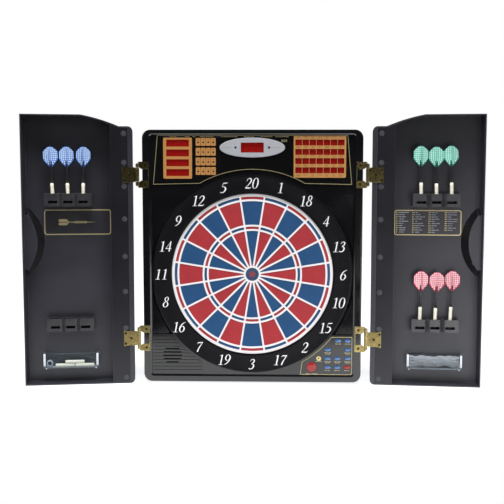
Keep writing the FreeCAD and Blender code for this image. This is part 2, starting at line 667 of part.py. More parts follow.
def make_rear_cover():
    """Back shell with screw wells, stiffening ribs and two keyholes for wall screws."""
    tray = slab(unit_outline(0), -cover_d, 0)
    tray = tray.cut(slab(unit_outline(wall), -cover_d - clear_cut, -wall))
    rib_front, root = -wall - cover_rib_h, -wall + 0.1
    half_w, half_h = unit_w / 2 - 2, unit_h / 2 - 2
    ribs = [box(-half_w, half_w, rib_front, root, z, z + cover_rib_t) for z in cover_rib_zs]
    ribs += [box(x, x + cover_rib_t, rib_front, root, -half_h, half_h) for x in cover_rib_xs]
    wells = [rod(x, z, well_r + 1.5, -cover_d, -1) for x, z in case_posts]
    keyhole_xs = (-keyhole_x, keyhole_x)
    pads = [keyhole_pad(x, keyhole_r + 2.0, rib_front, root) for x in keyhole_xs]
    solid = fuse([tray] + ribs + wells + pads)
    inside = -cover_d - clear_cut
    tools = [rod(x, z, well_r, well_floor, 1) for x, z in case_posts]
    tools += [rod(x, z, through_r, inside, 1) for x, z in case_posts]
    for x in keyhole_xs:
        slot_top = keyhole_z + keyhole_len
        tools.append(rod(x, keyhole_z, keyhole_r, inside, 1))
        tools.append(box(x - keyhole_slot_r, x + keyhole_slot_r, inside, 1, keyhole_z, slot_top))
        tools.append(rod(x, slot_top, keyhole_slot_r, inside, 1))
        tools.append(keyhole_pad(x, keyhole_r, inside, -wall - 0.8))
    return solid.cut(tools)


# ---- fasteners ------------------------------------------------------------------------------------------
def cross_recess(front, back):
    arm, half_slot = 1.9, 0.35
    return [box(-arm, arm, front, back, -half_slot, half_slot),
            box(-half_slot, half_slot, front, back, -arm, arm)]


def pan_screw(x, z, seat_y, length):
    """Screw driven from behind, towards -Y. The seat is the plane under its head."""
    body = turned([(0, screw_head_h), (screw_head_r - 0.8, screw_head_h),
                   (screw_head_r, screw_head_h - 0.9), (screw_head_r, 0), (screw_shank_r, 0),
                   (screw_shank_r, -length + 2), (0, -length)])
    body = body.cut(cross_recess(screw_head_h - 1.1, screw_head_h + 0.1))
    body.translate(Vector(x, seat_y, z))
    return body


def flat_screw(x, z, face_y, length):
    """Countersunk screw driven from the front, towards +Y, its head flush with the face."""
    body = turned([(0, 0), (screw_head_r, 0), (screw_shank_r, leaf_t), (screw_shank_r, length),
                   (0, length)])
    body = body.cut(cross_recess(-0.1, 1.1))
    body.translate(Vector(x, face_y, z))
    return body


def countersink(x, z, face_y):
    """Cone and clearance hole for a countersunk screw."""
    c = 0.1
    return turned([(0, -0.5), (screw_head_r + c + 0.5, -0.5), (screw_head_r + c, 0.0),
                   (screw_shank_r + c, leaf_t), (screw_shank_r + c, leaf_t + 1), (0, leaf_t + 1)],
                  x, z, face_y)


def make_case_screws():
    solids = [pan_screw(x, z, well_floor, case_screw_len) for x, z in case_posts]
    solids += [pan_screw(x, z, backing_back, case_screw_len) for x, z in lugs]
    return solids


# ---- hinges -----------------------------------------------------------------------------------------------
def mirrored(side, shape):
    """Shapes are drawn for the right side, the left side is their mirror image."""
    return shape if side > 0 else shape.mirror(origin, X)


def make_cabinet_leaf(side, z):
    """Leaf with a screw pad at each end and an arm from each pad out to the barrel."""
    y0, y1 = -unit_d - leaf_t, -unit_d
    pieces = [box(pad_x, pad_x + leaf_t, y0, y1, -arm_low - 1, arm_low + 1)]
    tools = [post(hinge_x, hinge_y, pin_r + pin_gap, -arm_high - 1, arm_high + 1)]
    for way in (-1, 1):
        pieces.append(slab(polygon([
            (pad_x, way * arm_low), (pad_end_x, way * arm_low), (pad_end_x + 3.5, way * arm_neck),
            (hinge_x, way * arm_neck), (hinge_x, way * knuckle_end),
            (hinge_x - 8.0, way * arm_high, hinge_x - 1.6, way * 30.0), (pad_x, way * arm_high)]),
            y0, y1))
        low, high = sorted((way * arm_neck, way * knuckle_end))
        pieces.append(post(hinge_x, hinge_y, barrel_r, low, high))
        low, high = sorted((way * knuckle_end, way * (knuckle_end + pin_head_h + 0.4)))
        tools.append(post(hinge_x, hinge_y, pin_head_r + gap, low, high))
        tools.append(countersink(leaf_screw_x, way * leaf_screw_z, y0))
    leaf = fuse(pieces).cut(tools)
    leaf.translate(Vector(0, 0, z))
    return mirrored(side, leaf)


def make_pin(side, z):
    """Hinge pin with a rounded head at each end."""
    head_seat = knuckle_end + gap / 2
    pieces = [post(hinge_x, hinge_y, pin_r, -head_seat - gap, head_seat + gap)]
    for way in (-1, 1):
        low, high = sorted((way * head_seat, way * (head_seat + pin_head_h)))
        pieces.append(post(hinge_x, hinge_y, pin_head_r, low, high))
    pin = fuse(pieces)
    rims = [e for e in pin.Edges if e.BoundBox.ZLength < 0.01
            and abs(e.BoundBox.ZMax) > knuckle_end + pin_head_h]
    pin = pin.makeFillet(0.8, rims)
    pin.translate(Vector(0, 0, z))
    return mirrored(side, pin)


def make_cabinet_leaf_screws(side):
    return [mirrored(side, flat_screw(leaf_screw_x, z + way * leaf_screw_z, -unit_d - leaf_t,
                                      leaf_screw_len)) for z in hinge_zs for way in (-1, 1)]


def make_door_leaf(z):
    """Door leaf with the middle knuckle and an ear at each outer corner."""
    y0, y1 = door_rim - leaf_t, door_rim
    neck_s, ear_s, end_s, half, ear_half = 5.4, 31.0, 37.0, 18.0, 20.0
    plate = slab(polygon([
        (0.5, -door_knuckle), (neck_s, -door_knuckle), (neck_s, -half), (ear_s, -half),
        (ear_s + 2.5, -ear_half), (end_s, -ear_half), (end_s, ear_half), (ear_s + 2.5, ear_half),
        (ear_s, half), (neck_s, half), (neck_s, door_knuckle), (0.5, door_knuckle)]), y0, y1)
    leaf = fuse([plate, post(0, 0, barrel_r, -door_knuckle, door_knuckle)])
    tools = [post(0, 0, pin_r + pin_gap, -ear_half, ear_half)]
    tools += [countersink(s, dz, y0) for s, dz in door_leaf_screws]
    leaf = leaf.cut(tools)
    leaf.translate(Vector(0, 0, z))
    return leaf


def make_door_leaf_screws():
    return [flat_screw(s, z + dz, door_rim - leaf_t, leaf_screw_len)
            for z in hinge_zs for s, dz in door_leaf_screws]


# ---- doors, drawn flat open with the hinge axis on the origin and the free edge towards +X -------------
def place_on_hinge(side, shapes):
    """Mirror door shapes for the left side, fold them to the rest angle and hang them."""
    placed = []
    for shape in shapes:
        shape = mirrored(side, shape).copy()
        shape.rotate(origin, Z, -side * rest_fold[side])
        shape.translate(Vector(side * hinge_x, hinge_y, 0))
        placed.append(shape)
    return placed


def door_outline(far, inset, y=0.0):
    """Outline at one depth: rounded corners beside the hinge, an arched shoulder and square
    corners at the free edge. An outline that ends before the slope does is cut off there."""
    near, end = door_near + inset, far - inset
    low, shoulder, top = door_low + inset, door_shoulder - inset, door_top - inset
    r = door_corner_r - inset
    d = bulge(r)
    points = [(near + r, low), (end, low)]
    if end > slope_end:
        bow = ((slope_start + slope_end) / 2, (shoulder + top) / 2 + slope_bow)
        points += [(end, top), (slope_end, top - 0.5), (slope_start, shoulder) + bow]
    else:
        points += [(end, shoulder + rail_rise), (slope_start, shoulder)]
    points += [(near + r, shoulder), (near, shoulder - r, near + d, shoulder - d),
               (near, low + r), (near + r, low, near + d, low + d)]
    return polygon(points, y)


def grip_outline(inset, y):
    """D-shaped section of the grip at one depth. The grip widens towards the door's floor."""
    share = (y - grip_front) / (door_floor - grip_front)
    half = grip_face_half + (grip_half - grip_face_half) * share - inset
    reach = grip_face_reach + (grip_reach - grip_face_reach) * share - inset
    past, chord = door_far + 5.0, door_far - 12.0
    return polygon([(past, grip_z - half), (chord, grip_z - half),
                    (chord, grip_z + half, door_far - reach, grip_z),
                    (past, grip_z + half)], y)


def leaf_pilots(places):
    return [rod(s, z + dz, pilot_r, door_rim - clear_cut, door_rim + leaf_screw_len - 0.5)
            for z in hinge_zs for s, dz in places]


def leaf_bosses(places):
    return [rod(s, z + dz, screw_boss_r, door_rim + 0.5, door_rim + leaf_screw_len + 3.0)
            for z in hinge_zs for s, dz in places]


def make_door():
    """Moulded door: floor, four walls, hinge flange and the finger grip at the free edge."""
    block = Part.makeLoft([door_outline(door_far, 0.0, door_rim),
                           door_outline(door_far_back, 0.0, door_back)], True)
    back_edges = [e for e in block.Edges if e.BoundBox.YMin > door_back - 0.01]
    block = block.makeFillet(2.0, back_edges)
    lean = (door_far - door_far_back) / (door_back - door_rim)
    floor_far = door_far - lean * (door_floor - door_rim)
    hollow = Part.makeLoft([door_outline(door_far + lean, door_wall, door_rim - 1),
                            door_outline(floor_far, door_wall, door_floor)], True)
    flange = block.common(box(door_near, rail_near - gap, door_rim, door_rim + door_wall,
                              door_low, door_top))
    grip = Part.makeLoft([grip_outline(0.0, grip_front), grip_outline(0.0, door_back)],
                         True).common(block)
    beside_rail = door_leaf_screws[2:]
    door = fuse([block.cut(hollow), flange, grip] + leaf_bosses(beside_rail))
    grip_hollow = Part.makeLoft([grip_outline(door_wall, grip_front + door_wall),
                                 grip_outline(door_wall, door_back + clear_cut)], True)
    return door.cut([grip_hollow] + leaf_pilots(beside_rail))


def make_hinge_rail():
    """Long raised cover beside the hinge, with a wall down to the door's floor and eight posts."""
    inset = door_wall + gap
    outline = door_outline(rail_far + inset, inset)
    plate = slab(outline, door_rim, door_rim + door_wall).common(
        box(rail_near, rail_far, door_rim, door_back, door_low, door_top))
    side_wall = slab(outline, door_rim, on_floor).common(
        box(rail_far - door_wall, rail_far, door_rim, on_floor, door_low, door_top))
    posts = [rod(post_mark_s, z, post_mark_r - 1.0, door_rim + 1, on_floor) for z in post_mark_zs]
    on_rail = door_leaf_screws[:2]
    rail = fuse([plate, side_wall] + posts + leaf_bosses(on_rail))
    marks = [rod(post_mark_s, z, post_mark_r, door_rim - clear_cut, door_rim + post_mark_depth)
             for z in post_mark_zs]
    return rail.cut(marks + leaf_pilots(on_rail))


# ---- dart holders, darts and trays ----------------------------------------------------------------------
def bay_centres(middle_s):
    return [middle_s + bay_pitch * i for i in (-1, 0, 1)]


def upright_block(points, z0, z1):
    """Block with an outline of (s, depth) points, standing between two heights."""
    corners = [Vector(s, y, z0) for s, y in points]
    return Part.Face(Part.makePolygon(corners + corners[:1])).extrude(Vector(0, 0, z1 - z0))


def make_holder(middle_s, top):
    """Three sockets side by side, with a groove down the front between them. Each socket has a
    slot below it and a hole for the tip through its floor and through the shelf at the foot."""
    half = holder_w / 2
    low, socket_low = top - holder_h, top - socket_h
    front, back = holder_front, on_floor
    inner_front, inner_back = front + socket_wall, back - socket_wall
    outline = [(middle_s - half, back), (middle_s - half, front)]
    for way in (-1, 1):
        groove_s = middle_s + way * bay_pitch / 2
        outline += [(groove_s - groove_half, front), (groove_s, front + groove_depth),
                    (groove_s + groove_half, front)]
    outline += [(middle_s + half, front), (middle_s + half, back)]
    tools = []
    for s in bay_centres(middle_s):
        near, wide = bay_pitch / 2 - groove_half + 1.2, bay_pitch / 2 - 1.4
        room = [(s - near, inner_front), (s + near, inner_front), (s + wide, inner_front + 8.5),
                (s + wide, inner_back), (s - wide, inner_back), (s - wide, inner_front + 8.5)]
        tools += [upright_block(room, socket_low + socket_floor_t, top + clear_cut),
                  upright_block(room, low + shelf_t, socket_low),
                  box(s - slot_half_w, s + slot_half_w, front - clear_cut,
                      inner_front + clear_cut, socket_low - slot_h, socket_low),
                  post(s, dart_y, tip_hole_r, low - clear_cut,
                       socket_low + socket_floor_t + clear_cut)]
    return upright_block(outline, low, top).cut(tools)


def upright(profile):
    """Solid of revolution about Z. Profile points are (radius, z)."""
    face = Part.Face(Part.makePolygon([Vector(r, 0, z) for r, z in profile + profile[:1]]))
    return face.revolve(origin, Z, 360)


def make_tip():
    """Soft plastic tip with a collar under the barrel and a stud inside it."""
    stud_r, collar_r, stud_top = 1.95, 2.7, 7.5
    return upright([(0, -tip_len), (0.35, 1.0 - tip_len), (0.9, 14.0 - tip_len), (1.5, -6.0),
                    (1.9, -2.0), (1.9, -collar_h), (collar_r, -collar_h), (collar_r, -0.05),
                    (stud_r, -0.05), (stud_r, stud_top), (0, stud_top)])


def make_barrel(length):
    """Grooved barrel, bored through for the tip's and the shaft's studs."""
    r, socket_r, core_r, socket_depth = dart_barrel_r, 2.05, 1.2, 8.0
    profile = [(socket_r, 0.0), (3.6, 0.0), (r, 4.5)]
    z = 8.0
    while z < length - 6.0:
        profile += [(r, z), (r - 0.35, z + 0.3), (r - 0.35, z + 1.3), (r, z + 1.6)]
        z += 4.2
    shoulder = length - socket_depth
    profile += [(r, length - 3.0), (3.4, length), (socket_r, length), (socket_r, shoulder),
                (core_r, shoulder), (core_r, socket_depth), (socket_r, socket_depth)]
    return upright(profile)


def make_shaft_and_flight(length):
    """Waisted shaft whose split end holds a flight with four fins, above a barrel this long."""
    foot, base = length + 0.1, length + 39.5
    shaft_top = length + 52.0
    shaft = upright([(0, length - 7.5), (1.95, length - 7.5), (1.95, foot), (3.0, foot),
                     (3.0, foot + 3.0), (2.0, foot + 8.0), (1.8, foot + 30.0), (2.9, foot + 38.0),
                     (2.4, shaft_top), (0, shaft_top)])
    half, top = flight_w / 2, base + flight_h
    fin = [(3.2, base), (half, base + 17.0), (half, base + 36.0), (half - 3.0, base + 40.5),
           (half * 0.42, top - 2.4), (0.0, top)]
    blade = slab(polygon(fin + [(-x, z) for x, z in reversed(fin)]), -flight_t / 2, flight_t / 2)
    cross = blade.copy()
    cross.rotate(origin, Z, 90)
    slot = flight_t / 2 + 0.06
    low, high = base - 0.1, shaft_top + clear_cut
    shaft = shaft.cut([box(-half, half, -slot, slot, low, high),
                       box(-slot, slot, -half, half, low, high)])
    return [shaft, fuse([blade, cross])]


def make_dart(s, foot_z, length, lean, turn):
    """Dart with the foot of its barrel at this place. The tip's collar carries it in its bay."""
    pieces = [make_tip(), make_barrel(length)] + make_shaft_and_flight(length)
    for piece in pieces:
        piece.rotate(origin, Z, turn)
        piece.rotate(origin, Y, lean)
        piece.translate(Vector(s, dart_y, foot_z))
    return pieces


def make_tip_tray():
    """Clear open-topped tray on the door's floor, with two feet and a band up each end."""
    outer = box(tray_s0, tray_s1, tray_front, on_floor, tray_low, tray_high)
    inner = box(tray_s0 + tray_wall, tray_s1 - tray_wall, tray_front + tray_wall,
                on_floor - tray_wall, tray_low + tray_wall, tray_high + clear_cut)
    feet = [box(s, s + 4.0, tray_front + 4.0, on_floor, tray_low - 3.0, tray_low + 0.1)
            for s in (tray_s0 + 4.0, tray_s1 - 8.0)]
    bands = [box(s, s + tray_end_w, tray_front - tray_end_proud, tray_front + 0.1,
                 tray_low + 6.0, tray_high) for s in (tray_s0, tray_s1 - tray_end_w)]
    return fuse([outer] + feet + bands).cut(inner)


def make_spare_barrels():
    """Three spare barrels lying in the tray, and a roll of thin washers."""
    low = tray_low + tray_wall + gap / 2

    def lying(s, y, z):
        tube = bar(s, s + spare_len, y, z, spare_r)
        return tube.cut(bar(s - 1, s + spare_len + 1, y, z, spare_r * 0.4))

    roll_s, roll_z, roll_y = tray_s1 - 14.0, low + washer_roll_r, tray_front + 4.0
    roll = rod(roll_s, roll_z, washer_roll_r, roll_y, roll_y + 10.0)
    roll = roll.cut(rod(roll_s, roll_z, washer_roll_r / 3, roll_y - 1, roll_y + 11.0))
    return [lying(112.0, 27.0, low + spare_r), lying(160.0, 28.0, low + spare_r),
            lying(136.0, 27.5, low + 3 * spare_r + gap), roll]


def make_tip_bag():
    """Soft bag of spare tips that nearly fills the tray."""
    clear = tray_wall + 1.0
    bag = box(tray_s0 + clear, tray_s1 - clear, tray_front + clear, on_floor - clear,
              tray_low + tray_wall + gap, tray_high - 3.0)
    return bag.makeFillet(4.0, bag.Edges)


# ---- write every node --------------------------------------------------------------------------------------
os.makedirs("parts", exist_ok=True)

save("rear_cover", make_rear_cover())
save("front_housing", make_front_housing())
save("display_fascia", make_fascia())
save("window_filters", make_filters())
save("match_bezel", make_match_bezel())
save("digit_modules", make_digit_modules())
save("main_board", make_main_board())
save("housing_screws", make_case_screws())

save("catch_ring", make_catch_ring())
save("spider", make_spider())
for ring, (inner_r, outer_r) in ring_bands.items():
    save(ring, [make_segment(inner_r, outer_r, turn) for turn in sector_turns])
save("bull_segments", make_bull())
save("rubber_sheet", target_disc(sheet_r, rubber_front, rubber_front + rubber_t))
save("sensor_sheet", make_sensor_sheet())
save("backing_board", make_backing_board())

save("start_button", make_start_key())
for key, (key_x, key_z) in small_keys.items():
    save(key, make_small_key(key_x, key_z))
save("key_mat", make_key_mat())
save("key_board", make_key_board())
save("headphone_jack", make_headphone_jack())
save("speaker", make_speaker())
save("power_jack", make_power_jack())

save("cabinet_hinge_leaves", [make_cabinet_leaf(side, z) for side in (-1, 1) for z in hinge_zs])
save("hinge_pins", [make_pin(side, z) for side in (-1, 1) for z in hinge_zs])
save("cabinet_hinge_screws", make_cabinet_leaf_screws(-1) + make_cabinet_leaf_screws(1))

for side, word in ((-1, "left"), (1, "right")):
    save("door_" + word, place_on_hinge(side, [make_door()]))
    save("hinge_rail_" + word, place_on_hinge(side, [make_hinge_rail()]))
    save("hinge_leaves_" + word, place_on_hinge(side, [make_door_leaf(z) for z in hinge_zs]))
    save("door_screws_" + word, place_on_hinge(side, make_door_leaf_screws()))
    save("dart_holders_" + word,
         place_on_hinge(side, [make_holder(*holder_places[side, row])
                               for row in ("upper", "lower")]))
    save("tip_tray_" + word, place_on_hinge(side, [make_tip_tray()]))
save("spare_barrels", place_on_hinge(-1, make_spare_barrels()))
save("spare_tip_bag", place_on_hinge(1, [make_tip_bag()]))

for colour, (side, row, barrel_len, stances) in dart_sets.items():
    middle, top = holder_places[side, row]
    rest_z = top - socket_h + socket_floor_t + collar_h + 0.15
    for number, (bay_s, (lean, turn, rise)) in enumerate(zip(bay_centres(middle), stances), 1):
        save("dart_%s_%d" % (colour, number),
             place_on_hinge(side, make_dart(bay_s, rest_z + rise, barrel_len, lean, turn)))
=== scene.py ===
import json
import math
import random

import bmesh
import bpy
import numpy as np
from mathutils import Matrix, Vector, noise
from mathutils.geometry import delaunay_2d_cdt


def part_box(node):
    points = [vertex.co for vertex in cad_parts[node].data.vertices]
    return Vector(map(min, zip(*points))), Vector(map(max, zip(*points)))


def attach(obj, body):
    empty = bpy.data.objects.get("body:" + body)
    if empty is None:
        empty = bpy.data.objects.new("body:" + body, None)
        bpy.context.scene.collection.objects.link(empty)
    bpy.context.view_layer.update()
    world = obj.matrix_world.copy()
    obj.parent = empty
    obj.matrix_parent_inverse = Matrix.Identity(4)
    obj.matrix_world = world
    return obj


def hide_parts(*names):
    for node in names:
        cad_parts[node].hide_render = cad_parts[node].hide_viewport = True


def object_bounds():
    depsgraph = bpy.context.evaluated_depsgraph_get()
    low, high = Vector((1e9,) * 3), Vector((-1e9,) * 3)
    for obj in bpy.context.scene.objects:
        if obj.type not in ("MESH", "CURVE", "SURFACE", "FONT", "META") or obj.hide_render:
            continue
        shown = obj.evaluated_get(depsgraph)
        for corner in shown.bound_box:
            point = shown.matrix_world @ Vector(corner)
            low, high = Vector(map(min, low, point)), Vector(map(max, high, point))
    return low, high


# Electronic dartboard with two folding doors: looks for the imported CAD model. Lengths below are
# in millimetres in the frame of the CAD model and become metres where a mesh is made.

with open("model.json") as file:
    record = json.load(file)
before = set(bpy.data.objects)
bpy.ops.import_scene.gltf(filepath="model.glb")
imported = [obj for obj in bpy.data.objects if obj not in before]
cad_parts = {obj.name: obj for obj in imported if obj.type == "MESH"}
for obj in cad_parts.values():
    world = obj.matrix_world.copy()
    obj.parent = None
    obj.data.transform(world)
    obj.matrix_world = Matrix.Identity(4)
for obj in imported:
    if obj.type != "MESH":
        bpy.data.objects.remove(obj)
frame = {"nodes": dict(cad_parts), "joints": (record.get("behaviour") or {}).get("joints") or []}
cad_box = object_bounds()

MM = 0.001
random.seed(20)


# ---- places that the CAD model gives ----
def edges_of(node):
    """Lowest and highest corner of a CAD node, in millimetres."""
    low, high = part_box(node)
    return low / MM, high / MM


def joint(name):
    return next(j for j in frame["joints"] if j["name"] == name)


def middle_of(low, high):
    """Middle of a box, seen from the front."""
    return (low.x + high.x) / 2, (low.z + high.z) / 2


target_x, target_z = middle_of(*edges_of("spider"))
ring_low, ring_high = edges_of("catch_ring")
fascia_y = edges_of("display_fascia")[0].y
jack_proud = 2.1
plate_y = edges_of("headphone_jack")[0].y + jack_proud     # front of the raised control panel
hinge_place = {-1: Vector(joint("left_door_hinge")["pos_m"]) / MM,
               1: Vector(joint("right_door_hinge")["pos_m"]) / MM}
rest_fold = {-1: -joint("left_door_hinge")["range_deg"][0],
             1: -joint("right_door_hinge")["range_deg"][0]}
door_name = {-1: "left_door", 1: "right_door"}
both_sides = ((-1, "left"), (1, "right"))


def on_door(side):
    """Places a point that is drawn on a door lying flat open, as (distance from the hinge axis,
    depth behind it, height)."""
    turn = Matrix.Rotation(math.radians(-side * rest_fold[side]), 3, "Z")
    return lambda p: turn @ Vector((side * p.x, p.y, p.z)) + hinge_place[side]


def off_door(side):
    """The way back: a point of the model as a point on the door lying flat open."""
    turn = Matrix.Rotation(math.radians(side * rest_fold[side]), 3, "Z")

    def flatten(p):
        q = turn @ (p - hinge_place[side])
        return Vector((side * q.x, q.y, q.z))

    return flatten


def solids_of(node):
    """Corner points of each separate solid of a CAD node, in millimetres."""
    mesh = frame["nodes"][node].data
    merged = {}
    label = [merged.setdefault(tuple(round(c / MM, 3) for c in v.co), len(merged))
             for v in mesh.vertices]
    group = list(range(len(merged)))

    def root(i):
        while group[i] != i:
            group[i] = group[group[i]]
            i = group[i]
        return i

    for polygon in mesh.polygons:
        first, *rest = (root(label[i]) for i in polygon.vertices)
        for other in rest:
            group[root(other)] = root(first)
    solids = {}
    for point, i in merged.items():
        solids.setdefault(root(i), []).append(Vector(point))
    return list(solids.values())


def corners(points):
    low, high = (Vector(pick(p[axis] for p in points) for axis in range(3))
                 for pick in (min, max))
    return low, high


def door_boxes(side, node):
    """Box of each solid of a door's node, on the door lying flat open."""
    flatten = off_door(side)
    return [corners([flatten(p) for p in solid]) for solid in solids_of(node)]


# ---- finishes ----
def tint(red, green, blue):
    """Linear colour from the usual values between 0 and 255."""
    parts = [c / 255 for c in (red, green, blue)]
    return tuple(c / 12.92 if c < 0.04 else ((c + 0.055) / 1.055) ** 2.4 for c in parts) + (1.0,)


def put(name, data):
    """Puts a new object made of some data into the scene."""
    made = bpy.data.objects.new(name, data)
    bpy.context.scene.collection.objects.link(made)
    return made


class Finish:
    """A material under construction, with short calls for the nodes that the finishes share."""

    def __init__(self, name, **inputs):
        self.material = bpy.data.materials.new(name)
        self.material.use_nodes = True
        self.nodes = self.material.node_tree.nodes
        self.surface = self.nodes["Principled BSDF"]
        self.spot = self.add("TexCoord").outputs["Object"]
        self.set(**inputs)

    def set(self, **inputs):
        for key, value in inputs.items():
            self.feed(self.surface.inputs[key.replace("_", " ")], value)

    def add(self, kind, inputs=None, **settings):
        node = self.nodes.new("ShaderNode" + kind)
        for key, value in settings.items():
            setattr(node, key, value)
        for key, value in (inputs or {}).items():
            self.feed(node.inputs[key], value)
        return node

    def feed(self, socket, value):
        if isinstance(value, bpy.types.NodeSocket):
            self.material.node_tree.links.new(value, socket)
        else:
            socket.default_value = value

    def noise(self, size, detail=2.0, stretch=(1, 1, 1)):
        """Noise with cells about this many millimetres wide."""
        scale = tuple(1 / (MM * size * s) for s in stretch)
        place = self.add("Mapping", {"Vector": self.spot, "Scale": scale})
        made = self.add("TexNoise",
                        {"Vector": place.outputs[0], "Scale": 1.0, "Detail": detail})
        return made.outputs[0]

    def span(self, value, low, high, start=0.3, end=0.7):
        """Maps start..end to low..high, clamped."""
        made = self.add("MapRange", {"Value": value, "From Min": start,
                                               "From Max": end, "To Min": low, "To Max": high})
        return made.outputs["Result"]

    def mix(self, share, first, second):
        made = self.add("Mix", {0: share, 6: first, 7: second}, data_type="RGBA")
        return made.outputs[2]

    def mottle(self, blotch, dark, light):
        return self.mix(self.span(blotch, 0.0, 1.0), dark, light)

    def calc(self, operation, first, second=0.0):
        return self.add("Math", {0: first, 1: second}, operation=operation).outputs[0]

    def round_edges(self, radius):
        return self.add("Bevel", {"Radius": radius * MM}, samples=4).outputs[0]

    def bump(self, height, depth, normal=None):
        inputs = {"Height": height, "Distance": depth * MM}
        if normal is not None:
            inputs["Normal"] = normal
        return self.add("Bump", inputs).outputs[0]

    def edge_share(self, radius):
        """1 on outer and inner edges and 0 on flat areas."""
        flat = self.add("NewGeometry").outputs["Normal"]
        dot = self.add("VectorMath", {0: self.round_edges(radius), 1: flat},
                       operation="DOT_PRODUCT").outputs["Value"]
        return self.span(dot, 1.0, 0.0, 0.80, 0.995)

    def let_through(self, colour, share):
        """Lets light of this colour pass, with this share for the surface itself."""
        passing = self.add("BsdfTransparent", {"Color": colour}).outputs[0]
        both = self.add("MixShader", {0: share, 1: passing, 2: self.surface.outputs[0]})
        self.feed(self.nodes["Material Output"].inputs["Surface"], both.outputs[0])

    def axis(self, letter):
        return self.add("SeparateXYZ", {0: self.spot}).outputs[letter]


def shades(colour, low, high):
    """Darker and lighter versions of a colour."""
    return [tuple(min(1.0, c * share) for c in colour[:3]) + (1.0,) for share in (low, high)]


def plastic(name, rgb, roughness=0.5, grain=0.7, depth=0.02, edge=0.35, patch=60.0,
            variation=0.12, shine=0.5, coat=0.0, rim=None, slanted=None):
    """Moulded plastic: fine grain, slightly uneven colour and gloss, rounded edges. Optionally a
    painted highlight along the edges (rim) and painted shade on slanted faces (slanted).
    """
    made = Finish(name)
    dark, light = shades(tint(*rgb), 1 - variation, 1 + variation)
    blotch = made.noise(patch, 3.0)
    fine = made.noise(grain, 3.0)
    scuff = made.noise(9.0, 5.0, (0.25, 1, 1.6))
    base = made.mottle(blotch, dark, light)
    # Painted shade: faces turned about 40 to 70 degrees away from the front take the darker slanted
    # colour.
    if slanted:
        front = made.calc("MULTIPLY", made.add("SeparateXYZ", {
            0: made.add("NewGeometry").outputs["True Normal"]}).outputs["Y"], -1.0)
        side = made.calc("MULTIPLY", made.span(front, 0.0, 1.0, 0.25, 0.3),
                         made.span(front, 1.0, 0.0, 0.75, 0.8))
        base = made.mix(side, base, tint(*slanted))
    # Painted highlight: the lighter rim colour along outer and inner edges.
    if rim:
        base = made.mix(made.edge_share(edge), base, tint(*rim))
    gloss = made.calc("ADD", made.span(blotch, roughness - 0.04, roughness + 0.04),
                      made.span(scuff, 0.0, 0.05, 0.5, 0.75))
    normal = made.bump(fine, depth, made.round_edges(edge) if edge else None)
    made.set(Base_Color=base, Roughness=gloss, Normal=normal, Specular_IOR_Level=shine,
             Coat_Weight=coat, Coat_Roughness=0.08)


def ink(name, rgb, roughness=0.4, metal=0.0, speck=0.5):
    """Screen print: a thin, slightly mottled layer."""
    made = Finish(name)
    dark, light = shades(tint(*rgb), 0.88, 1.08)
    base = made.mottle(made.noise(speck, 3.0), dark, light)
    gloss = made.span(made.noise(12.0, 3.0), roughness - 0.05, roughness + 0.06)
    made.set(Base_Color=base, Roughness=gloss, Metallic=metal,
             Normal=made.bump(made.noise(0.4), 0.01))


def aged_brass(name, dark_rgb, bright_rgb, roughness=0.36):
    """Plated metal with tarnish on the flats and bare bright edges."""
    made = Finish(name, Metallic=1.0)
    dark, bright = tint(*dark_rgb), tint(*bright_rgb)
    tarnish = made.span(made.noise(5.0, 6.0), 0.0, 1.0, 0.36, 0.66)
    brush = made.noise(0.35, 2.0, (6.0, 1.0, 0.5))
    flat = made.mix(tarnish, dark, shades(dark, 1.7, 1.9)[0])
    base = made.mix(made.edge_share(0.5), flat, bright)
    gloss = made.span(tarnish, roughness + 0.12, roughness - 0.06, 0.0, 1.0)
    made.set(Base_Color=base, Roughness=gloss,
             Normal=made.bump(brush, 0.02, made.round_edges(0.3)))


def steel(name, rgb):
    made = Finish(name, Metallic=1.0, Roughness=0.38)
    dark, light = shades(tint(*rgb), 0.7, 1.2)
    made.set(Base_Color=made.mottle(made.noise(2.0, 4.0), dark, light),
             Normal=made.round_edges(0.3))


def circuit_board(name):
    """Green solder mask over a maze of slightly lighter tracks, with pale pads."""
    made = Finish(name, Roughness=0.32)
    place = made.add("Mapping", {"Vector": made.spot, "Scale": (1, 0, 1)}).outputs[0]
    tracks = made.add("TexBrick", {"Vector": place, "Scale": 90.0, "Mortar Size": 0.02,
                                             "Brick Width": 0.9, "Row Height": 0.22,
                                             "Color1": tint(16, 78, 38),
                                             "Color2": tint(12, 66, 32),
                                             "Mortar": tint(46, 124, 66)})
    pads = made.add("TexVoronoi", {"Vector": place, "Scale": 160.0}).outputs[0]
    pad_share = made.span(pads, 1.0, 0.0, 0.10, 0.14)
    base = made.mix(pad_share, tracks.outputs[0], tint(196, 190, 168))
    made.set(Base_Color=base, Metallic=made.calc("MULTIPLY", pad_share, 0.8),
             Normal=made.bump(tracks.outputs[1], 0.03))


def see_through(name, colour, clear, edge_rgb, gloss=0.08, wrinkle=None):
    """Thin clear plastic: light passes straight through, and edges seen at a slant look milky."""
    made = Finish(name, Roughness=gloss, Base_Color=tint(*edge_rgb))
    facing = made.add("LayerWeight", {"Blend": 0.35}).outputs["Facing"]
    share = made.span(facing, 1 - clear, 0.85, 0.35, 0.98)
    haze = made.span(made.noise(6.0, 4.0), 0.0, 0.12 * (1 - clear))
    if wrinkle:
        made.set(Normal=made.bump(made.noise(wrinkle, 4.0, (6.0, 1, 0.5)), 1.2))
    made.let_through(colour, made.calc("ADD", share, haze))


def red_filter(name):
    """Clear red sheet: what stands behind it shows in deep red. It also glows faintly, painted
    light that evens out the shade in its recess.
    """
    # Painted light: a faint red glow that lifts the shade at the top of each recessed window.
    made = Finish(name, Roughness=0.12, Base_Color=tint(150, 22, 20),
                  Emission_Color=tint(170, 24, 20), Emission_Strength=0.3)
    made.let_through(made.mottle(made.noise(30.0), tint(228, 34, 30), tint(238, 46, 38)), 0.5)


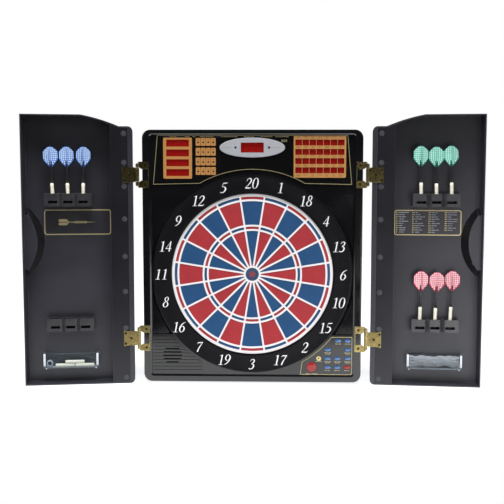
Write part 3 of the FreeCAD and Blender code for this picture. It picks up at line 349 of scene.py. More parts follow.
# Each finish is found by its name from here on. Colours are red, green and blue up to 255.
plastic("black_shell", (12, 12, 15), 0.13, 0.9, 0.003, 0.6)
# Painted highlight along the door's edges (rim), and painted shade on its slanted faces such as the
# sides of the grips (slanted).
plastic("black_door", (44, 44, 51), 0.42, 1.1, 0.02, 1.4, 90.0, shine=0.4,
        rim=(84, 84, 90), slanted=(15, 15, 18))
# Painted highlight along the rail's edges (rim).
plastic("black_rail", (26, 26, 31), 0.36, 1.1, 0.015, 1.0, 90.0, shine=0.3,
        rim=(78, 78, 84))
# Painted highlight along the holders' edges (rim).
plastic("black_holder", (48, 47, 51), 0.36, 0.8, 0.02, 0.6, 20.0, shine=0.5,
        rim=(104, 104, 108))
plastic("black_panel", (10, 10, 11), 0.12, 0.5, 0.002, 0.4, shine=0.4)
plastic("black_ring", (12, 12, 15), 0.42, 0.6, 0.006, 0.25, shine=0.12)
plastic("web_white", (240, 236, 238), 0.42, 0.6, 0.01, 0.4, 40.0, 0.03, 0.3)
plastic("segment_red", (176, 54, 60), 0.55, 0.5, 0.02, 0.3, 25.0, 0.07, 0.25)
plastic("segment_blue", (36, 80, 126), 0.55, 0.5, 0.02, 0.3, 25.0, 0.07, 0.25)
plastic("bull_red", (140, 56, 68), 0.5, 0.5, 0.02, 0.3, 25.0, 0.07)
plastic("bull_blue", (42, 74, 108), 0.5, 0.5, 0.02, 0.3, 25.0, 0.07)
plastic("number_white", (242, 240, 242), 0.42, 0.4, 0.008, 0.1, 10.0, 0.03, 0.3)
plastic("key_blue", (40, 92, 150), 0.22, 0.6, 0.004, 0.3, 8.0, 0.10, 0.6, 0.6)
plastic("key_red", (150, 26, 28), 0.24, 0.6, 0.004, 0.3, 8.0, 0.08, 0.4, 0.15)
plastic("silver_oval", (166, 168, 174), 0.36, 0.35, 0.01, 0.5, 30.0, 0.04)
ink("gold_ink", (188, 134, 74), 0.45, 0.15)
ink("gold_line", (158, 148, 110), 0.35, 0.35)
ink("gold_frame", (196, 182, 138), 0.35, 0.3)
ink("cream_ink", (176, 168, 138), 0.5)
ink("dark_ink", (88, 62, 32), 0.5)
ink("navy_ink", (20, 22, 48), 0.45)
ink("grey_ink", (150, 152, 164), 0.5)
plastic("label_film", (40, 40, 46), 0.40, 0.5, 0.004, 0.0, 30.0)
plastic("digit_grey", (150, 146, 146), 0.45, 0.6, 0.01)
plastic("digit_pale", (216, 206, 204), 0.35, 0.6, 0.01)
plastic("lamp_brown", (34, 12, 10), 0.2, 0.6, 0.002, coat=0.2)
plastic("lamp_navy", (20, 24, 66), 0.12, 0.6, 0.002, coat=0.8)
plastic("mark_grey", (56, 57, 64), 0.62, 0.6, 0.03)
plastic("barrel_ivory", (240, 236, 220), 0.34, 0.5, 0.01, 0.3, 15.0, 0.04)
plastic("shaft_black", (26, 26, 28), 0.28, 0.5, 0.006, 0.3)
plastic("tip_black", (24, 24, 26), 0.35, 0.4, 0.008, 0.2)
aged_brass("brass", (112, 100, 64), (222, 210, 160), 0.28)
aged_brass("screw_dark", (34, 28, 16), (96, 84, 52))
aged_brass("jack_brass", (150, 138, 96), (224, 212, 168), 0.3)
steel("zinc", (120, 120, 124))
circuit_board("pcb")
plastic("rubber", (20, 20, 21), 0.8, 1.2, 0.05)
plastic("film", (196, 200, 196), 0.35, 3.0, 0.01)
plastic("silicone", (120, 120, 124), 0.6, 1.0, 0.02)
plastic("cone_black", (18, 18, 19), 0.6, 1.2, 0.05)
see_through("clear_tray", (0.95, 0.97, 0.98, 1.0), 0.99, (200, 208, 216))
# Painted highlight: the bright ends and feet of the clear trays.
plastic("tray_end_highlight", (216, 222, 230), 0.2, 0.8, 0.004, 0.3, 8.0, 0.1, coat=0.5)
see_through("bag_film", (0.80, 0.80, 0.81, 1.0), 0.44, (182, 184, 190), 0.2, 4.0)
see_through("washer_clear", (0.8, 0.84, 0.88, 1.0), 0.35, (170, 180, 190))
red_filter("window_red")

cad_finishes = {                  # and the CAD nodes that wear them
    "black_shell": "rear_cover front_housing backing_board", "black_panel": "display_fascia",
    "window_red": "window_filters", "silver_oval": "match_bezel", "pcb": "main_board key_board",
    "web_white": "spider", "rubber": "rubber_sheet", "film": "sensor_sheet",
    "silicone": "key_mat", "jack_brass": "headphone_jack", "cone_black": "speaker",
    "shaft_black": "power_jack", "zinc": "housing_screws",
    "brass": "cabinet_hinge_leaves hinge_pins hinge_leaves_left hinge_leaves_right",
    "screw_dark": "cabinet_hinge_screws door_screws_left door_screws_right",
    "black_door": "door_left door_right", "black_rail": "hinge_rail_left hinge_rail_right",
    "black_holder": "dart_holders_left dart_holders_right",
    "clear_tray": "tip_tray_left tip_tray_right"}
for finish, nodes in cad_finishes.items():
    for node in nodes.split():
        mesh = frame["nodes"][node].data
        mesh.materials.clear()
        mesh.materials.append(bpy.data.materials[finish])


# ---- shapes ----
class Shape:
    """Points in millimetres, faces, and the number of each face's finish."""

    def __init__(self):
        self.points, self.faces, self.marks = [], [], []

    def add(self, points, faces, mark=0):
        start = len(self.points)
        self.points += [Vector(p) for p in points]
        self.faces += [[start + i for i in face] for face in faces]
        self.marks += [mark] * len(faces)


def piece(name, shape, body, finishes, place=None, crease=35.0, stands_for=None):
    """Turns a shape into an object that rides on a CAD body and may stand for a CAD node."""
    mesh = bpy.data.meshes.new(name)
    points = [place(p) for p in shape.points] if place else shape.points
    mesh.from_pydata([p * MM for p in points], [], shape.faces)
    for finish in finishes:
        mesh.materials.append(bpy.data.materials[finish])
    mesh.polygons.foreach_set("material_index", shape.marks)
    work = bmesh.new()
    work.from_mesh(mesh)
    bmesh.ops.recalc_face_normals(work, faces=work.faces)
    work.to_mesh(mesh)
    work.free()
    mesh.shade_smooth()
    mesh.set_sharp_from_angle(angle=math.radians(crease))
    made = put(name, mesh)
    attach(made, body)
    if stands_for:
        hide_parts(stands_for)
    return made


def door_piece(side, name, shape, finish, crease=35.0, stands_for=None):
    """A piece on a door, from a shape drawn as if the door lay flat open."""
    return piece(name, shape, door_name[side], [finish], on_door(side), crease, stands_for)


def arc(x, z, r, start, end, steps=12):
    """Points on an arc. Angles in degrees, zero towards +X and growing towards +Z."""
    angles = [math.radians(start + (end - start) * i / steps) for i in range(steps + 1)]
    return [(x + r * math.cos(a), z + r * math.sin(a)) for a in angles]


def rect(x0, x1, z0, z1):
    return [(x0, z0), (x1, z0), (x1, z1), (x0, z1)]


def round_rect(x0, x1, z0, z1, r, steps=5):
    return (arc(x1 - r, z0 + r, r, -90, 0, steps) + arc(x1 - r, z1 - r, r, 0, 90, steps)
            + arc(x0 + r, z1 - r, r, 90, 180, steps) + arc(x0 + r, z0 + r, r, 180, 270, steps))


def stadium(x, z, half_w, half_h, steps=10):
    reach = half_w - half_h
    return (arc(x + reach, z, half_h, -90, 90, steps) + arc(x - reach, z, half_h, 90, 270, steps))


def disc(x, z, r, steps=24):
    return arc(x, z, r, 0, 360, steps)[:-1]


def area(loop):
    return sum(a[0] * b[1] - b[0] * a[1] for a, b in zip(loop, loop[1:] + loop[:1])) / 2


def band(path, width):
    """Outer and inner loop of a line of this width along a closed path."""
    outer, inner = [], []
    for before, here, after in zip(path[-1:] + path[:-1], path, path[1:] + path[:1]):
        one = (Vector(here) - Vector(before)).normalized()
        two = (Vector(after) - Vector(here)).normalized()
        normals = Vector((one.y, -one.x)), Vector((two.y, -two.x))
        reach = (normals[0] + normals[1]) / (1 + normals[0].dot(normals[1])) * width / 2
        outer.append(tuple(Vector(here) + reach))
        inner.append(tuple(Vector(here) - reach))
    return (outer, inner) if area(outer) > area(inner) else (inner, outer)


def line_along(path, width, front, back):
    """Shape of a printed line along a closed path."""
    outer, inner = band(path, width)
    shape = Shape()
    plate(shape, [outer], front, back, [inner])
    return shape


def region(loops, holes=()):
    """Triangles over everything inside the loops and outside the holes, overlaps merged."""
    points, faces = [], []
    for loop in list(loops) + list(holes):
        loop = loop if area(loop) > 0 else loop[::-1]
        faces.append(list(range(len(points), len(points) + len(loop))))
        points += loop
    made = delaunay_2d_cdt([Vector(p) for p in points], [], faces, 0, 1e-5)
    kept = [face for face, sources in zip(made[2], made[5])
            if sources and max(sources) < len(loops)]
    return [tuple(p) for p in made[0]], kept


def plate(shape, loops, front, back, holes=(), mark=0):
    """Flat plate with holes between two depths. A depth may be a function of x and z."""
    spread(shape, region(loops, holes), front, back, mark)


def spread(shape, flat, front, back, mark=0, place=None):
    """The same from triangles made before, whose points may first be moved within the plate."""
    points, faces = flat
    if place:
        points = [place(x, z) for x, z in points]
    fronts = front if callable(front) else lambda x, z: front
    backs = back if callable(back) else lambda x, z: back
    count = len(points)
    solid = [(x, fronts(x, z), z) for x, z in points] + [(x, backs(x, z), z) for x, z in points]
    used = {}
    for face in faces:
        for a, b in zip(face, face[1:] + face[:1]):
            used[(a, b)] = True
    rims = [(a, b) for a, b in used if (b, a) not in used]
    shape.add(solid, [list(f) for f in faces]
              + [[i + count for i in reversed(f)] for f in faces]
              + [[b, a, a + count, b + count] for a, b in rims], mark)


def pad(shape, x0, x1, z0, z1, front, back):
    """Small block."""
    shape.add([(x, y, z) for y in (front, back) for x, z in rect(x0, x1, z0, z1)],
              [(0, 1, 2, 3), (7, 6, 5, 4), (0, 4, 5, 1), (1, 5, 6, 2), (2, 6, 7, 3), (3, 7, 4, 0)])


def loft(shape, loops, closed=False):
    """Skin through loops of equally many points, with a cap at both ends or closed on itself."""
    count = len(loops[0])
    faces = []
    for level in range(len(loops) - (not closed)):
        a, b = level * count, (level + 1) % len(loops) * count
        faces += [[a + i, a + (i + 1) % count, b + (i + 1) % count, b + i] for i in range(count)]
    if not closed:
        last = (len(loops) - 1) * count
        faces = [list(range(count))[::-1]] + faces + [[last + i for i in range(count)]]
    shape.add([p for loop in loops for p in loop], faces)


def soft_block(shape, x0, x1, z0, z1, r, steps, levels):
    """Block with round corners through levels, each an inset and a depth."""
    loft(shape, [[(x, y, z) for x, z in round_rect(x0 + inset, x1 - inset, z0 + inset, z1 - inset,
                                                   r, steps)] for inset, y in levels])


def turned(shape, profile, steps=32, axis="Z", centre=(0, 0, 0), closed=False):
    """Solid of revolution. Profile points are (radius, distance along the axis)."""
    shifts = {"Z": lambda c, s, h: (c, s, h), "Y": lambda c, s, h: (c, h, s),
              "X": lambda c, s, h: (h, c, s)}[axis]
    loops = [[Vector(shifts(max(r, 0.001) * math.cos(a), max(r, 0.001) * math.sin(a), h))
              + Vector(centre) for a in (2 * math.pi * i / steps for i in range(steps))]
             for r, h in profile]
    loft(shape, loops, closed=closed)


def on_target(r, degrees):
    """Point on a circle round the bull's-eye. Zero degrees is up, growing clockwise."""
    a = math.radians(90 - degrees)
    return target_x + r * math.cos(a), target_z + r * math.sin(a)


# ---- number ring ----
ring_r0, ring_r1 = 197.5, ring_high.x - target_x
ring_ribs, rib_depth = 400, 0.55
rib_r0, rib_r1 = 203.0, 238.5


def ring_front(r):
    """Depth of the ring's sloping front at a radius."""
    inner_y = ring_low.y + 1.6
    share = (r - ring_r0 - 3.0) / (ring_r1 - 5.5 - ring_r0)
    return inner_y + (ring_low.y - inner_y) * min(1.0, max(0.0, share))


def make_number_ring():
    shape = Shape()
    back = ring_high.y - 0.05
    profile = [(ring_r0, back, 0), (ring_r0, back - 0.75, 0), (ring_r0 + 1.2, back - 1.6, 0),
               (ring_r0 + 3.0, ring_front(ring_r0), 0), (rib_r0, ring_front(rib_r0), 0),
               (rib_r0 + 0.8, ring_front(rib_r0), 1), (rib_r1 - 0.8, ring_front(rib_r1), 1),
               (rib_r1, ring_front(rib_r1), 0), (ring_r1 - 3.0, ring_low.y, 0),
               (ring_r1 - 1.4, ring_low.y + 0.25, 0), (ring_r1 - 0.4, ring_low.y + 0.9, 0),
               (ring_r1, ring_low.y + 1.8, 0), (ring_r1, back, 0)]
    steps = ring_ribs * 4
    loops = []
    for r, y, ribbed in profile:
        loops.append([])
        for i in range(steps):
            x, z = on_target(r, 360.0 * i / steps)
            loops[-1].append((x, y + (rib_depth if ribbed and i % 4 < 2 else 0.0), z))
    loft(shape, loops, closed=True)
    piece("number_ring", shape, "cabinet", ["black_ring"], crease=25.0,
          stands_for="catch_ring")


# Each numeral is a few pen strokes. A stroke's points are (x, height, half width), as thousandths
# of the numeral's height, before the slant. The strokes of 0 and 8 close on themselves.
closed_numerals = "08"
pen_strokes = {
    "0": [[(300, 978, 21), (140, 860, 50), (75, 500, 78), (140, 140, 50), (300, 22, 21),
         (460, 140, 50), (525, 500, 78), (460, 860, 50)]],
    "1": [[(340, 955, 68), (340, 500, 70), (340, 30, 70)], [(370, 965, 30), (260, 895, 30),
         (150, 860, 18)], [(140, 21, 21), (340, 21, 21), (540, 21, 21)]],
    "2": [[(80, 700, 21), (110, 840, 30), (270, 960, 36), (430, 880, 66), (465, 720, 76),
         (370, 490, 55), (210, 270, 34), (50, 70, 22)], [(40, 55, 50), (220, 70, 64), (420, 55, 55),
         (530, 90, 30), (570, 190, 14)]],
    "3": [[(90, 790, 21), (150, 910, 30), (300, 965, 36), (430, 870, 64), (410, 680, 55),
         (230, 540, 21)], [(230, 545, 21), (410, 470, 50), (475, 280, 78), (380, 90, 55),
         (200, 35, 35), (60, 100, 45)]],
    "4": [[(430, 950, 21), (240, 620, 21), (50, 310, 21)], [(30, 290, 34), (300, 290, 34),
         (580, 290, 34)], [(410, 970, 50), (410, 500, 66), (410, 20, 66)]],
    "5": [[(190, 925, 50), (360, 925, 50), (560, 950, 34)], [(180, 940, 21), (150, 750, 21),
         (120, 585, 21)], [(120, 575, 21), (300, 595, 40), (450, 470, 68), (465, 280, 78),
         (350, 90, 55), (190, 35, 35), (50, 90, 45)]],
    "6": [[(530, 965, 21), (340, 870, 40), (160, 640, 65), (90, 340, 78), (160, 100, 50),
         (300, 22, 25), (440, 110, 50), (505, 310, 72), (430, 510, 50), (300, 575, 21),
         (150, 470, 21)]],
    "7": [[(90, 790, 15), (150, 900, 40), (360, 910, 58), (580, 935, 34)], [(560, 930, 30),
         (400, 600, 45), (280, 300, 64), (220, 30, 74)]],
    "8": [[(320, 978, 21), (190, 890, 50), (165, 750, 60), (230, 600, 45), (310, 535, 21),
         (420, 620, 45), (460, 760, 55), (430, 900, 45)], [(310, 535, 21), (150, 430, 50),
         (95, 270, 70), (150, 100, 50), (300, 22, 21), (440, 100, 50), (500, 260, 72),
         (440, 430, 50)]]}
pen_strokes["9"] = [[(600 - x, 1000 - z, half) for x, z, half in pen_strokes["6"][0]]]


def smooth_path(points, closed, steps=6):
    """Catmull-Rom curve through the points of a stroke."""
    vectors = [Vector([c / 1000 for c in p]) for p in points]
    run = [2 * vectors[0] - vectors[1]] + vectors + [2 * vectors[-1] - vectors[-2]]
    if closed:
        run = vectors[-1:] + vectors + vectors[:2]
    path = []
    for a, b, c, d in zip(run, run[1:], run[2:], run[3:]):
        for i in range(steps):
            t = i / steps
            path.append(0.5 * (2 * b + (c - a) * t + (2 * a - 5 * b + 4 * c - d) * t ** 2
                               + (3 * b - a - 3 * c + d) * t ** 3))
    path.append(run[-2])
    return path


def stroke_loops(points, closed, spot, height):
    """Small quadrilaterals along one stroke, slanted and moved to their place."""
    slant, pen, half_w = 0.20, 0.85, 0.3
    path = smooth_path(points, closed)
    sides = []
    for i, p in enumerate(path):
        along = path[min(i + 1, len(path) - 1)] - path[max(i - 1, 0)]
        if closed and i in (0, len(path) - 1):
            along = path[1] - path[-2]
        normal = Vector((-along.y, along.x)).normalized() * p.z * pen
        sides.append([(spot[0] + ((q.x - half_w) + slant * (q.y - 0.5)) * height,
                       spot[1] + (q.y - 0.5) * height)
                      for q in (p.xy + normal, p.xy - normal)])
    loops = []
    for (a, b), (c, d) in zip(sides, sides[1:]):
        loops += [[a, c, b], [b, c, d]]
    return [loop for loop in loops if abs(area(loop)) > 1e-4]


def number_loops(text, x, z, height):
    advance = 0.61 * height       # from one digit to the next
    loops = []
    for i, letter in enumerate(text):
        spot = (x + (i - (len(text) - 1) / 2) * advance, z)
        for points in pen_strokes[letter]:
            loops += stroke_loops(points, letter in closed_numerals, spot, height)
    return loops


def make_numbers():
    """Raised numerals that follow the slope of the ring."""
    order = (20, 1, 18, 4, 13, 6, 10, 15, 2, 17, 3, 19, 7, 16, 8, 11, 14, 9, 12, 5)
    circle_r, height, proud = 222.5, 26.0, 0.35

    def depth(x, z):
        return ring_front(math.hypot(x - target_x, z - target_z))

    shape = Shape()
    for i, number in enumerate(order):
        x, z = on_target(circle_r, 18.0 * i)
        plate(shape, number_loops(str(number), x, z, height),
              lambda x, z: depth(x, z) - proud, lambda x, z: depth(x, z) + 0.2)
    piece("ring_numbers", shape, "cabinet", ["number_white"], crease=30.0)


make_number_ring()
make_numbers()


# ---- scoring segments ----
hole_r, hole_pitch = 0.62, 2.75
wire_half, segment_gap = 2.1, 0.3
ring_bands = {"double_segments": (183.8, 190.4), "outer_single_segments": (121.8, 179.2),
              "triple_segments": (111.2, 117.3), "inner_single_segments": (20.8, 106.8)}


def hexagon(x, z):
    return disc(x, z, hole_r, 6)


def pierced_sector(r0, r1, side):
    """One sector at the top of the target with its tip holes, relative to the bull's-eye."""
    def angle(r, keep):
        return 9.0 - math.degrees(math.asin(keep / r))

    def polar(r, degrees):
        a = math.radians(90 - degrees)
        return r * math.cos(a), r * math.sin(a)

    steps = max(3, round(r1 / 18))
    far, near = angle(r1, side), angle(r0, side)
    outline = [polar(r1, -far + 2 * far * i / steps) for i in range(steps + 1)]
    outline += [polar(r0, near - 2 * near * i / steps) for i in range(steps + 1)]
    holes = []
    margin = 1.2                    # from the edge of the sector to the middle of its holes
    rows = max(1, int((r1 - r0 - 2 * margin) / (hole_pitch * 0.92)) + 1)
    row_pitch = (r1 - r0 - 2 * margin) / max(1, rows - 1)
    for row in range(rows):
        r = r0 + margin + row * row_pitch
        reach = math.radians(angle(r, side + 1.25)) * r
        half_counts = int(2 * reach / hole_pitch)
        count = half_counts + 1 - (half_counts + row) % 2
        for k in range(count):
            along = (k - (count - 1) / 2) * hole_pitch
            x, z = polar(r, math.degrees(along / r))
            holes.append(hexagon(x, z))
    return region([outline], holes)


def make_segments():
    for n, (node, (r0, r1)) in enumerate(ring_bands.items()):
        low, high = edges_of(node)
        flat = pierced_sector(r0 + segment_gap, r1 - segment_gap, wire_half + segment_gap)
        shape = Shape()
        for i in range(20):
            turn = Matrix.Rotation(math.radians(-18.0 * i), 2)
            mark = (i + n) % 2

            def place(x, z):
                moved = turn @ Vector((x, z))
                return moved.x + target_x, moved.y + target_z

            spread(shape, flat, low.y, high.y, mark, place)
        piece("pierced_" + node, shape, node, ["segment_red", "segment_blue"],
              stands_for=node)


def make_bulls():
    node = "bull_segments"
    low, high = edges_of(node)
    outer_r, split_r, gap = 16.0, 7.7, 0.3
    shape = Shape()
    inner_holes = [hexagon(target_x, target_z)]
    outer_holes = []
    for r, count in ((2.7, 6), (5.3, 12), (9.6, 19), (12.2, 26), (14.6, 32)):
        made = [hexagon(*on_target(r, 360.0 * i / count)) for i in range(count)]
        if r < split_r:
            inner_holes += made
        else:
            outer_holes += made
    plate(shape, [disc(target_x, target_z, split_r - gap, 48)], low.y, high.y, inner_holes, 0)
    plate(shape, [disc(target_x, target_z, outer_r, 72)], low.y, high.y,
          outer_holes + [disc(target_x, target_z, split_r, 48)], 1)
    piece("pierced_bull", shape, node, ["bull_red", "bull_blue"], stands_for=node)


make_segments()
make_bulls()


# ---- display ----
print_t, print_seat = 0.12, 0.03   # how far a print stands out and how deep it sits
modules = [corners(solid) for solid in solids_of("digit_modules")]


def modules_of(narrowest, widest, x0=-400, x1=400):
    """Digit modules with a width between two limits and their right side between x0 and x1."""
    return [(low, high) for low, high in modules
            if narrowest < high.x - low.x < widest and x0 < high.x < x1]


score_blocks, (match_block,) = modules_of(40, 400, x1=0), modules_of(40, 400, x0=0)
grid_blocks = modules_of(10, 20)
player_lamps, match_lamps = modules_of(0, 10, x1=-60), modules_of(0, 10, x0=-60)
module_y = match_block[0].y


def word_bars(shape, x0, x1, z, height, front, back, shortest=1.6, longest=5.0):
    """Short bars in a row that stand for the words of a caption."""
    x = x0
    while x < x1 - shortest * 0.6:
        end = min(x1, x + random.uniform(shortest, longest))
        pad(shape, x, end, z - height / 2, z + height / 2, front, back)
        x = end + height * 0.55


def seven_segments(shape, x, z, width, height, front, back):
    """The bars of one digit, slanted a little."""
    bar, slant = width * 0.17, 0.10

    def hexagonal(x0, z0, x1, z1):
        along = Vector((x1 - x0, z1 - z0)).normalized() * bar * 0.5
        across = Vector((-along.y, along.x))
        a, b = Vector((x0, z0)) + along * 0.25, Vector((x1, z1)) - along * 0.25
        ring = [a, a + along + across, b - along + across, b, b - along - across,
                a + along - across]
        return [(x + p.x + slant * p.y, z + p.y) for p in ring]

    w, h = width / 2, height / 2
    lines = [(-w, h, w, h), (-w, 0, w, 0), (-w, -h, w, -h), (-w, 0, -w, h), (w, 0, w, h),
             (-w, -h, -w, 0), (w, -h, w, 0)]
    for line in lines:
        plate(shape, [hexagonal(*line)], front, back)


def make_digits():
    """Digit blocks behind the red sheets, with their unlit bars, and the indicator lamps."""
    blocks, bars = Shape(), Shape()
    back = match_block[1].y
    for low, high in score_blocks + [match_block] + grid_blocks:
        x0, x1, z0, z1 = low.x, high.x, low.z, high.z
        soft = 0.5
        soft_block(blocks, x0, x1, z0, z1, 0.6, 2,
                   ((0.0, back), (0.0, module_y + soft), (soft, module_y)))
        count = 1 if x1 - x0 < 20 else 3 if x1 < 0 else 4
        pitch = (x1 - x0 - 3.0) / count
        digit_h = (z1 - z0) * 0.62
        digit_w = min(pitch * 0.52, digit_h * 0.6)
        for i in range(count):
            seven_segments(bars, x0 + 1.5 + pitch * (i + 0.5), (z0 + z1) / 2, digit_w, digit_h,
                           module_y - print_t, module_y + 0.02)
    piece("digit_blocks", blocks, "cabinet", ["digit_grey"],
          stands_for="digit_modules")
    piece("digit_bars", bars, "cabinet", ["digit_pale"])
    for name, boxes, finish in (("player_lamps", player_lamps, "lamp_brown"),
                                ("match_lamps", match_lamps, "lamp_navy")):
        shape = Shape()
        for low, high in boxes:
            (x, z), r = middle_of(low, high), (high.x - low.x) / 2
            profile = [(r, back)] + [
                (r * math.cos(a), low.y + r * 0.7 * (1 - math.sin(a)))
                for a in (math.radians(10 * i) for i in range(10))]
            turned(shape, profile, 20, "Y", (x, 0, z))
        piece(name, shape, "cabinet", [finish], crease=50.0)


def around(blocks):
    return corners([corner for block in blocks for corner in block])


def grid_of(blocks):
    """Middles of the columns and of the rows in which some blocks stand."""
    return [sorted({round(middle_of(*block)[n], 1) for block in blocks}) for n in (0, 1)]


def make_display_prints():
    """Gold frames, cells and outline printed on the display panel, with bars for the words."""
    front, back = fascia_y - print_t, fascia_y + print_seat
    over, under = front - 0.05, fascia_y        # of a second layer of print
    shape = Shape()
    windows = [rect(low.x + 1.0, high.x - 1.0, low.z + 1.0, high.z - 1.0)
               for low, high in score_blocks]
    low, high = around(score_blocks)
    plate(shape, [round_rect(low.x - 6.5, high.x + 6.5, low.z - 5.5, high.z + 4.0, 3.0)],
          front, back, windows)
    lamp_columns, lamp_rows = grid_of(player_lamps)
    half = (lamp_columns[1] - lamp_columns[0]) / 2 - 0.35
    marks = Shape()
    for z in lamp_rows:
        for n, x in enumerate(lamp_columns):
            shapes = round_rect(x - half, x + half, z - 8.3, z + 10.6, 1.8, 3)
            plate(shape, [shapes], front, back, [disc(x, z, 2.2, 16)])
            pad(marks, x - 1.3 - 0.3 * n, x + 1.3 + 0.3 * n, z + 5.2, z + 6.2, over, under)
    windows = [rect(low.x - 0.6, high.x + 0.6, low.z - 0.2, high.z + 0.2)
               for low, high in grid_blocks]
    low, high = around(grid_blocks)
    plate(shape, [round_rect(low.x - 4.6, high.x + 5.0, low.z - 11.0, high.z + 10.4, 3.0)],
          front, back, windows)
    piece("display_gold", shape, "cabinet", ["gold_ink"])
    columns, rows = grid_of(grid_blocks)
    gap_rows = [low.z - 5.6] + [(a + b) / 2 for a, b in zip(rows, rows[1:])] + [high.z + 5.4]
    for z in gap_rows:
        for x in columns:
            reach = random.uniform(3.2, 5.6)
            word_bars(marks, x - reach, x + reach, z + 1.2, 1.1, over, under)
            if random.random() < 0.6:
                word_bars(marks, x - reach * 0.7, x + reach * 0.7, z - 1.3, 1.1, over, under)
    piece("display_dark_marks", marks, "cabinet", ["dark_ink"])

    half_high, half_low, top, foot = 229.6, 240.2, 295.4, 177.6
    arc_r, arc_half_w = 256.4, 127.6
    end = math.degrees(math.acos(arc_half_w / arc_r))
    path = ([(-half_high, top), (-half_low, foot)]
            + arc(target_x, target_z, arc_r, 180 - end, end, 40)
            + [(half_low, foot), (half_high, top)])
    piece("display_outline", line_along(path, 1.5, front, back), "cabinet",
          ["gold_line"])
    words = Shape()
    z, tall = 292.2, 1.7
    for x0, x1 in ((-200, -183), (-163, -150), (-144, -137), (-127, -92), (-76, -36), (-20, 6),
                   (20, 48), (55, 90)):
        word_bars(words, x0, x1, z, tall, over, under, 2.4, 6.5)
    for line_z in (284.0, 280.6):
        word_bars(words, 70.0, 84.0, line_z, 1.9, over, under, 3.0, 6.0)
    oval_y = edges_of("match_bezel")[0].y
    for x0, x1 in ((-71.0, -50.0), (50.0, 71.0)):
        word_bars(words, x0, x1, middle_of(*match_block)[1], 0.9, oval_y - 0.1, oval_y + 0.02,
                  3.0, 7.0)
    piece("display_words", words, "cabinet", ["gold_line"])
    patches = Shape()
    for x0, x1 in ((-215, -202), (-181, -165), (-88, -79), (10, 18)):
        pad(patches, x0, x1, z - 1.6, z + 1.6, over + 0.03, under)
    piece("display_navy_marks", patches, "cabinet", ["navy_ink"])


make_digits()
make_display_prints()


# ---- control panel ----
small_keys = ["sound_button", "handicap_button", "double_button", "player_button", "game_button",
              "option_button", "miss_button", "undo_button", "score_button", "power_button"]
two_line_keys = ("double_button", "player_button", "game_button", "option_button", "miss_button")
flange_w, flange_t = 1.2, 1.2


def dome(outline, edge_y, front_y):
    """Loops that close a cap with a soft dome. The outline is a function of its share of size."""
    loops = []
    for share, rise in ((1.0, 0.0), (0.985, 0.22), (0.94, 0.48), (0.85, 0.70), (0.7, 0.86),
                        (0.5, 0.95), (0.28, 0.99), (0.08, 1.0)):
        loops.append([(x, edge_y + (front_y - edge_y) * rise, z) for x, z in outline(share)])
    return loops


def make_keys():
    for node in small_keys + ["start_button"]:
        low, high = edges_of(node)
        x, z = middle_of(low, high)
        half_w, half_h = (high.x - low.x) / 2 - flange_w, (high.z - low.z) / 2 - flange_w
        round_key = node == "start_button"

        def outline(share, grow=0.0):
            if round_key:
                return disc(x, z, half_w * share + grow, 48)
            return stadium(x, z, half_w * share + grow, half_h * share + grow)

        shape = Shape()
        seat = high.y - flange_t
        loops = [[(px, y, pz) for px, pz in outline(1.0, grow)]
                 for y, grow in ((high.y, flange_w), (seat, flange_w), (seat, 0.0))]
        loops += dome(outline, low.y + (2.2 if round_key else 1.5), low.y)
        loft(shape, loops)
        finish = "key_red" if node in ("start_button", "power_button") else "key_blue"
        piece(node.replace("button", "key"), shape, node, [finish], crease=50.0,
              stands_for=node)


def make_panel_prints():
    """Outline of the control panel and the caption bars under its keys."""
    front, back = plate_y - print_t, plate_y + print_seat
    right, top, foot = 245.1, -196.9, -290.2
    edge_r, edge_x = 249.0, 123.4
    start = -math.degrees(math.acos(edge_x / edge_r))
    end = -math.degrees(math.asin((target_z - top) / edge_r))
    path = ([(118.6, foot)] + arc(target_x, target_z, edge_r, start, end, 16)
            + [(right, top), (right, foot + 4.0), (right - 2.6, foot)])
    piece("panel_outline", line_along(path[::-1], 1.6, front, back), "cabinet",
          ["gold_line"])
    words = Shape()
    for node in small_keys + ["headphone_jack"]:
        low, high = edges_of(node)
        x, z = middle_of(low, high)
        rows = [(-7.4, 7.0)]
        if node in two_line_keys:
            rows = [(-7.3, 8.0), (-10.4, 5.6)]
        for drop, reach in rows:
            word_bars(words, x - reach, x + reach, z + drop, 1.8, front - 0.02, back, 3.5, 8.0)
    low, high = edges_of("start_button")
    word_bars(words, low.x - 1.0, high.x + 1.0, foot + 1.4, 2.2, front - 0.04, back, 5.0, 9.0)
    piece("panel_words", words, "cabinet", ["cream_ink"])


make_keys()
make_panel_prints()


# ---- doors ----
floor_y = 44.2                      # front of the door's floor, behind the hinge axis
grip_y, grip_mark_s = 16.0, 254.0   # front of the grips, and the place of their marks
mark_s, mark_r, mark_y = 32.3, 6.3, 2.2
mark_zs = (299.8, 230.2, 172.4, 93.3, 2.2, -84.5, -174.8, -298.2)
label_s0, label_s1, label_z0, label_z1 = 67.5, 227.0, 54.0, 113.8


def make_door_marks():
    """Round grey marks in the shallow recesses of the hinge rails."""
    for side, word in both_sides:
        shape = Shape()
        for z in mark_zs:
            turned(shape, [(mark_r, mark_y + 0.05), (mark_r, mark_y - 0.15),
                           (mark_r - 0.2, mark_y - 0.22)], 28, "Y", (mark_s, 0, z))
        door_piece(side, "rail_marks_" + word, shape, "mark_grey")


def make_grip_marks():
    """Two small dark dots on the face of the right grip."""
    shape = Shape()
    for z in (66.0, -12.0):
        turned(shape, [(2.4, grip_y + 0.05), (2.4, grip_y - 0.1), (2.2, grip_y - 0.16)], 20, "Y",
               (grip_mark_s, 0, z))
    door_piece(1, "grip_marks", shape, "tip_black")


def make_label(side, word):
    """Film label with a gold frame."""
    base, frame_w = Shape(), 2.4
    path = round_rect(label_s0, label_s1, label_z0, label_z1, 5.5, 6)
    plate(base, [band(path, frame_w)[0]], floor_y - 0.12, floor_y + 0.04)
    line = line_along(path, frame_w, floor_y - 0.24, floor_y - 0.10)
    door_piece(side, "label_" + word, base, "label_film")
    door_piece(side, "label_frame_" + word, line, "gold_frame")


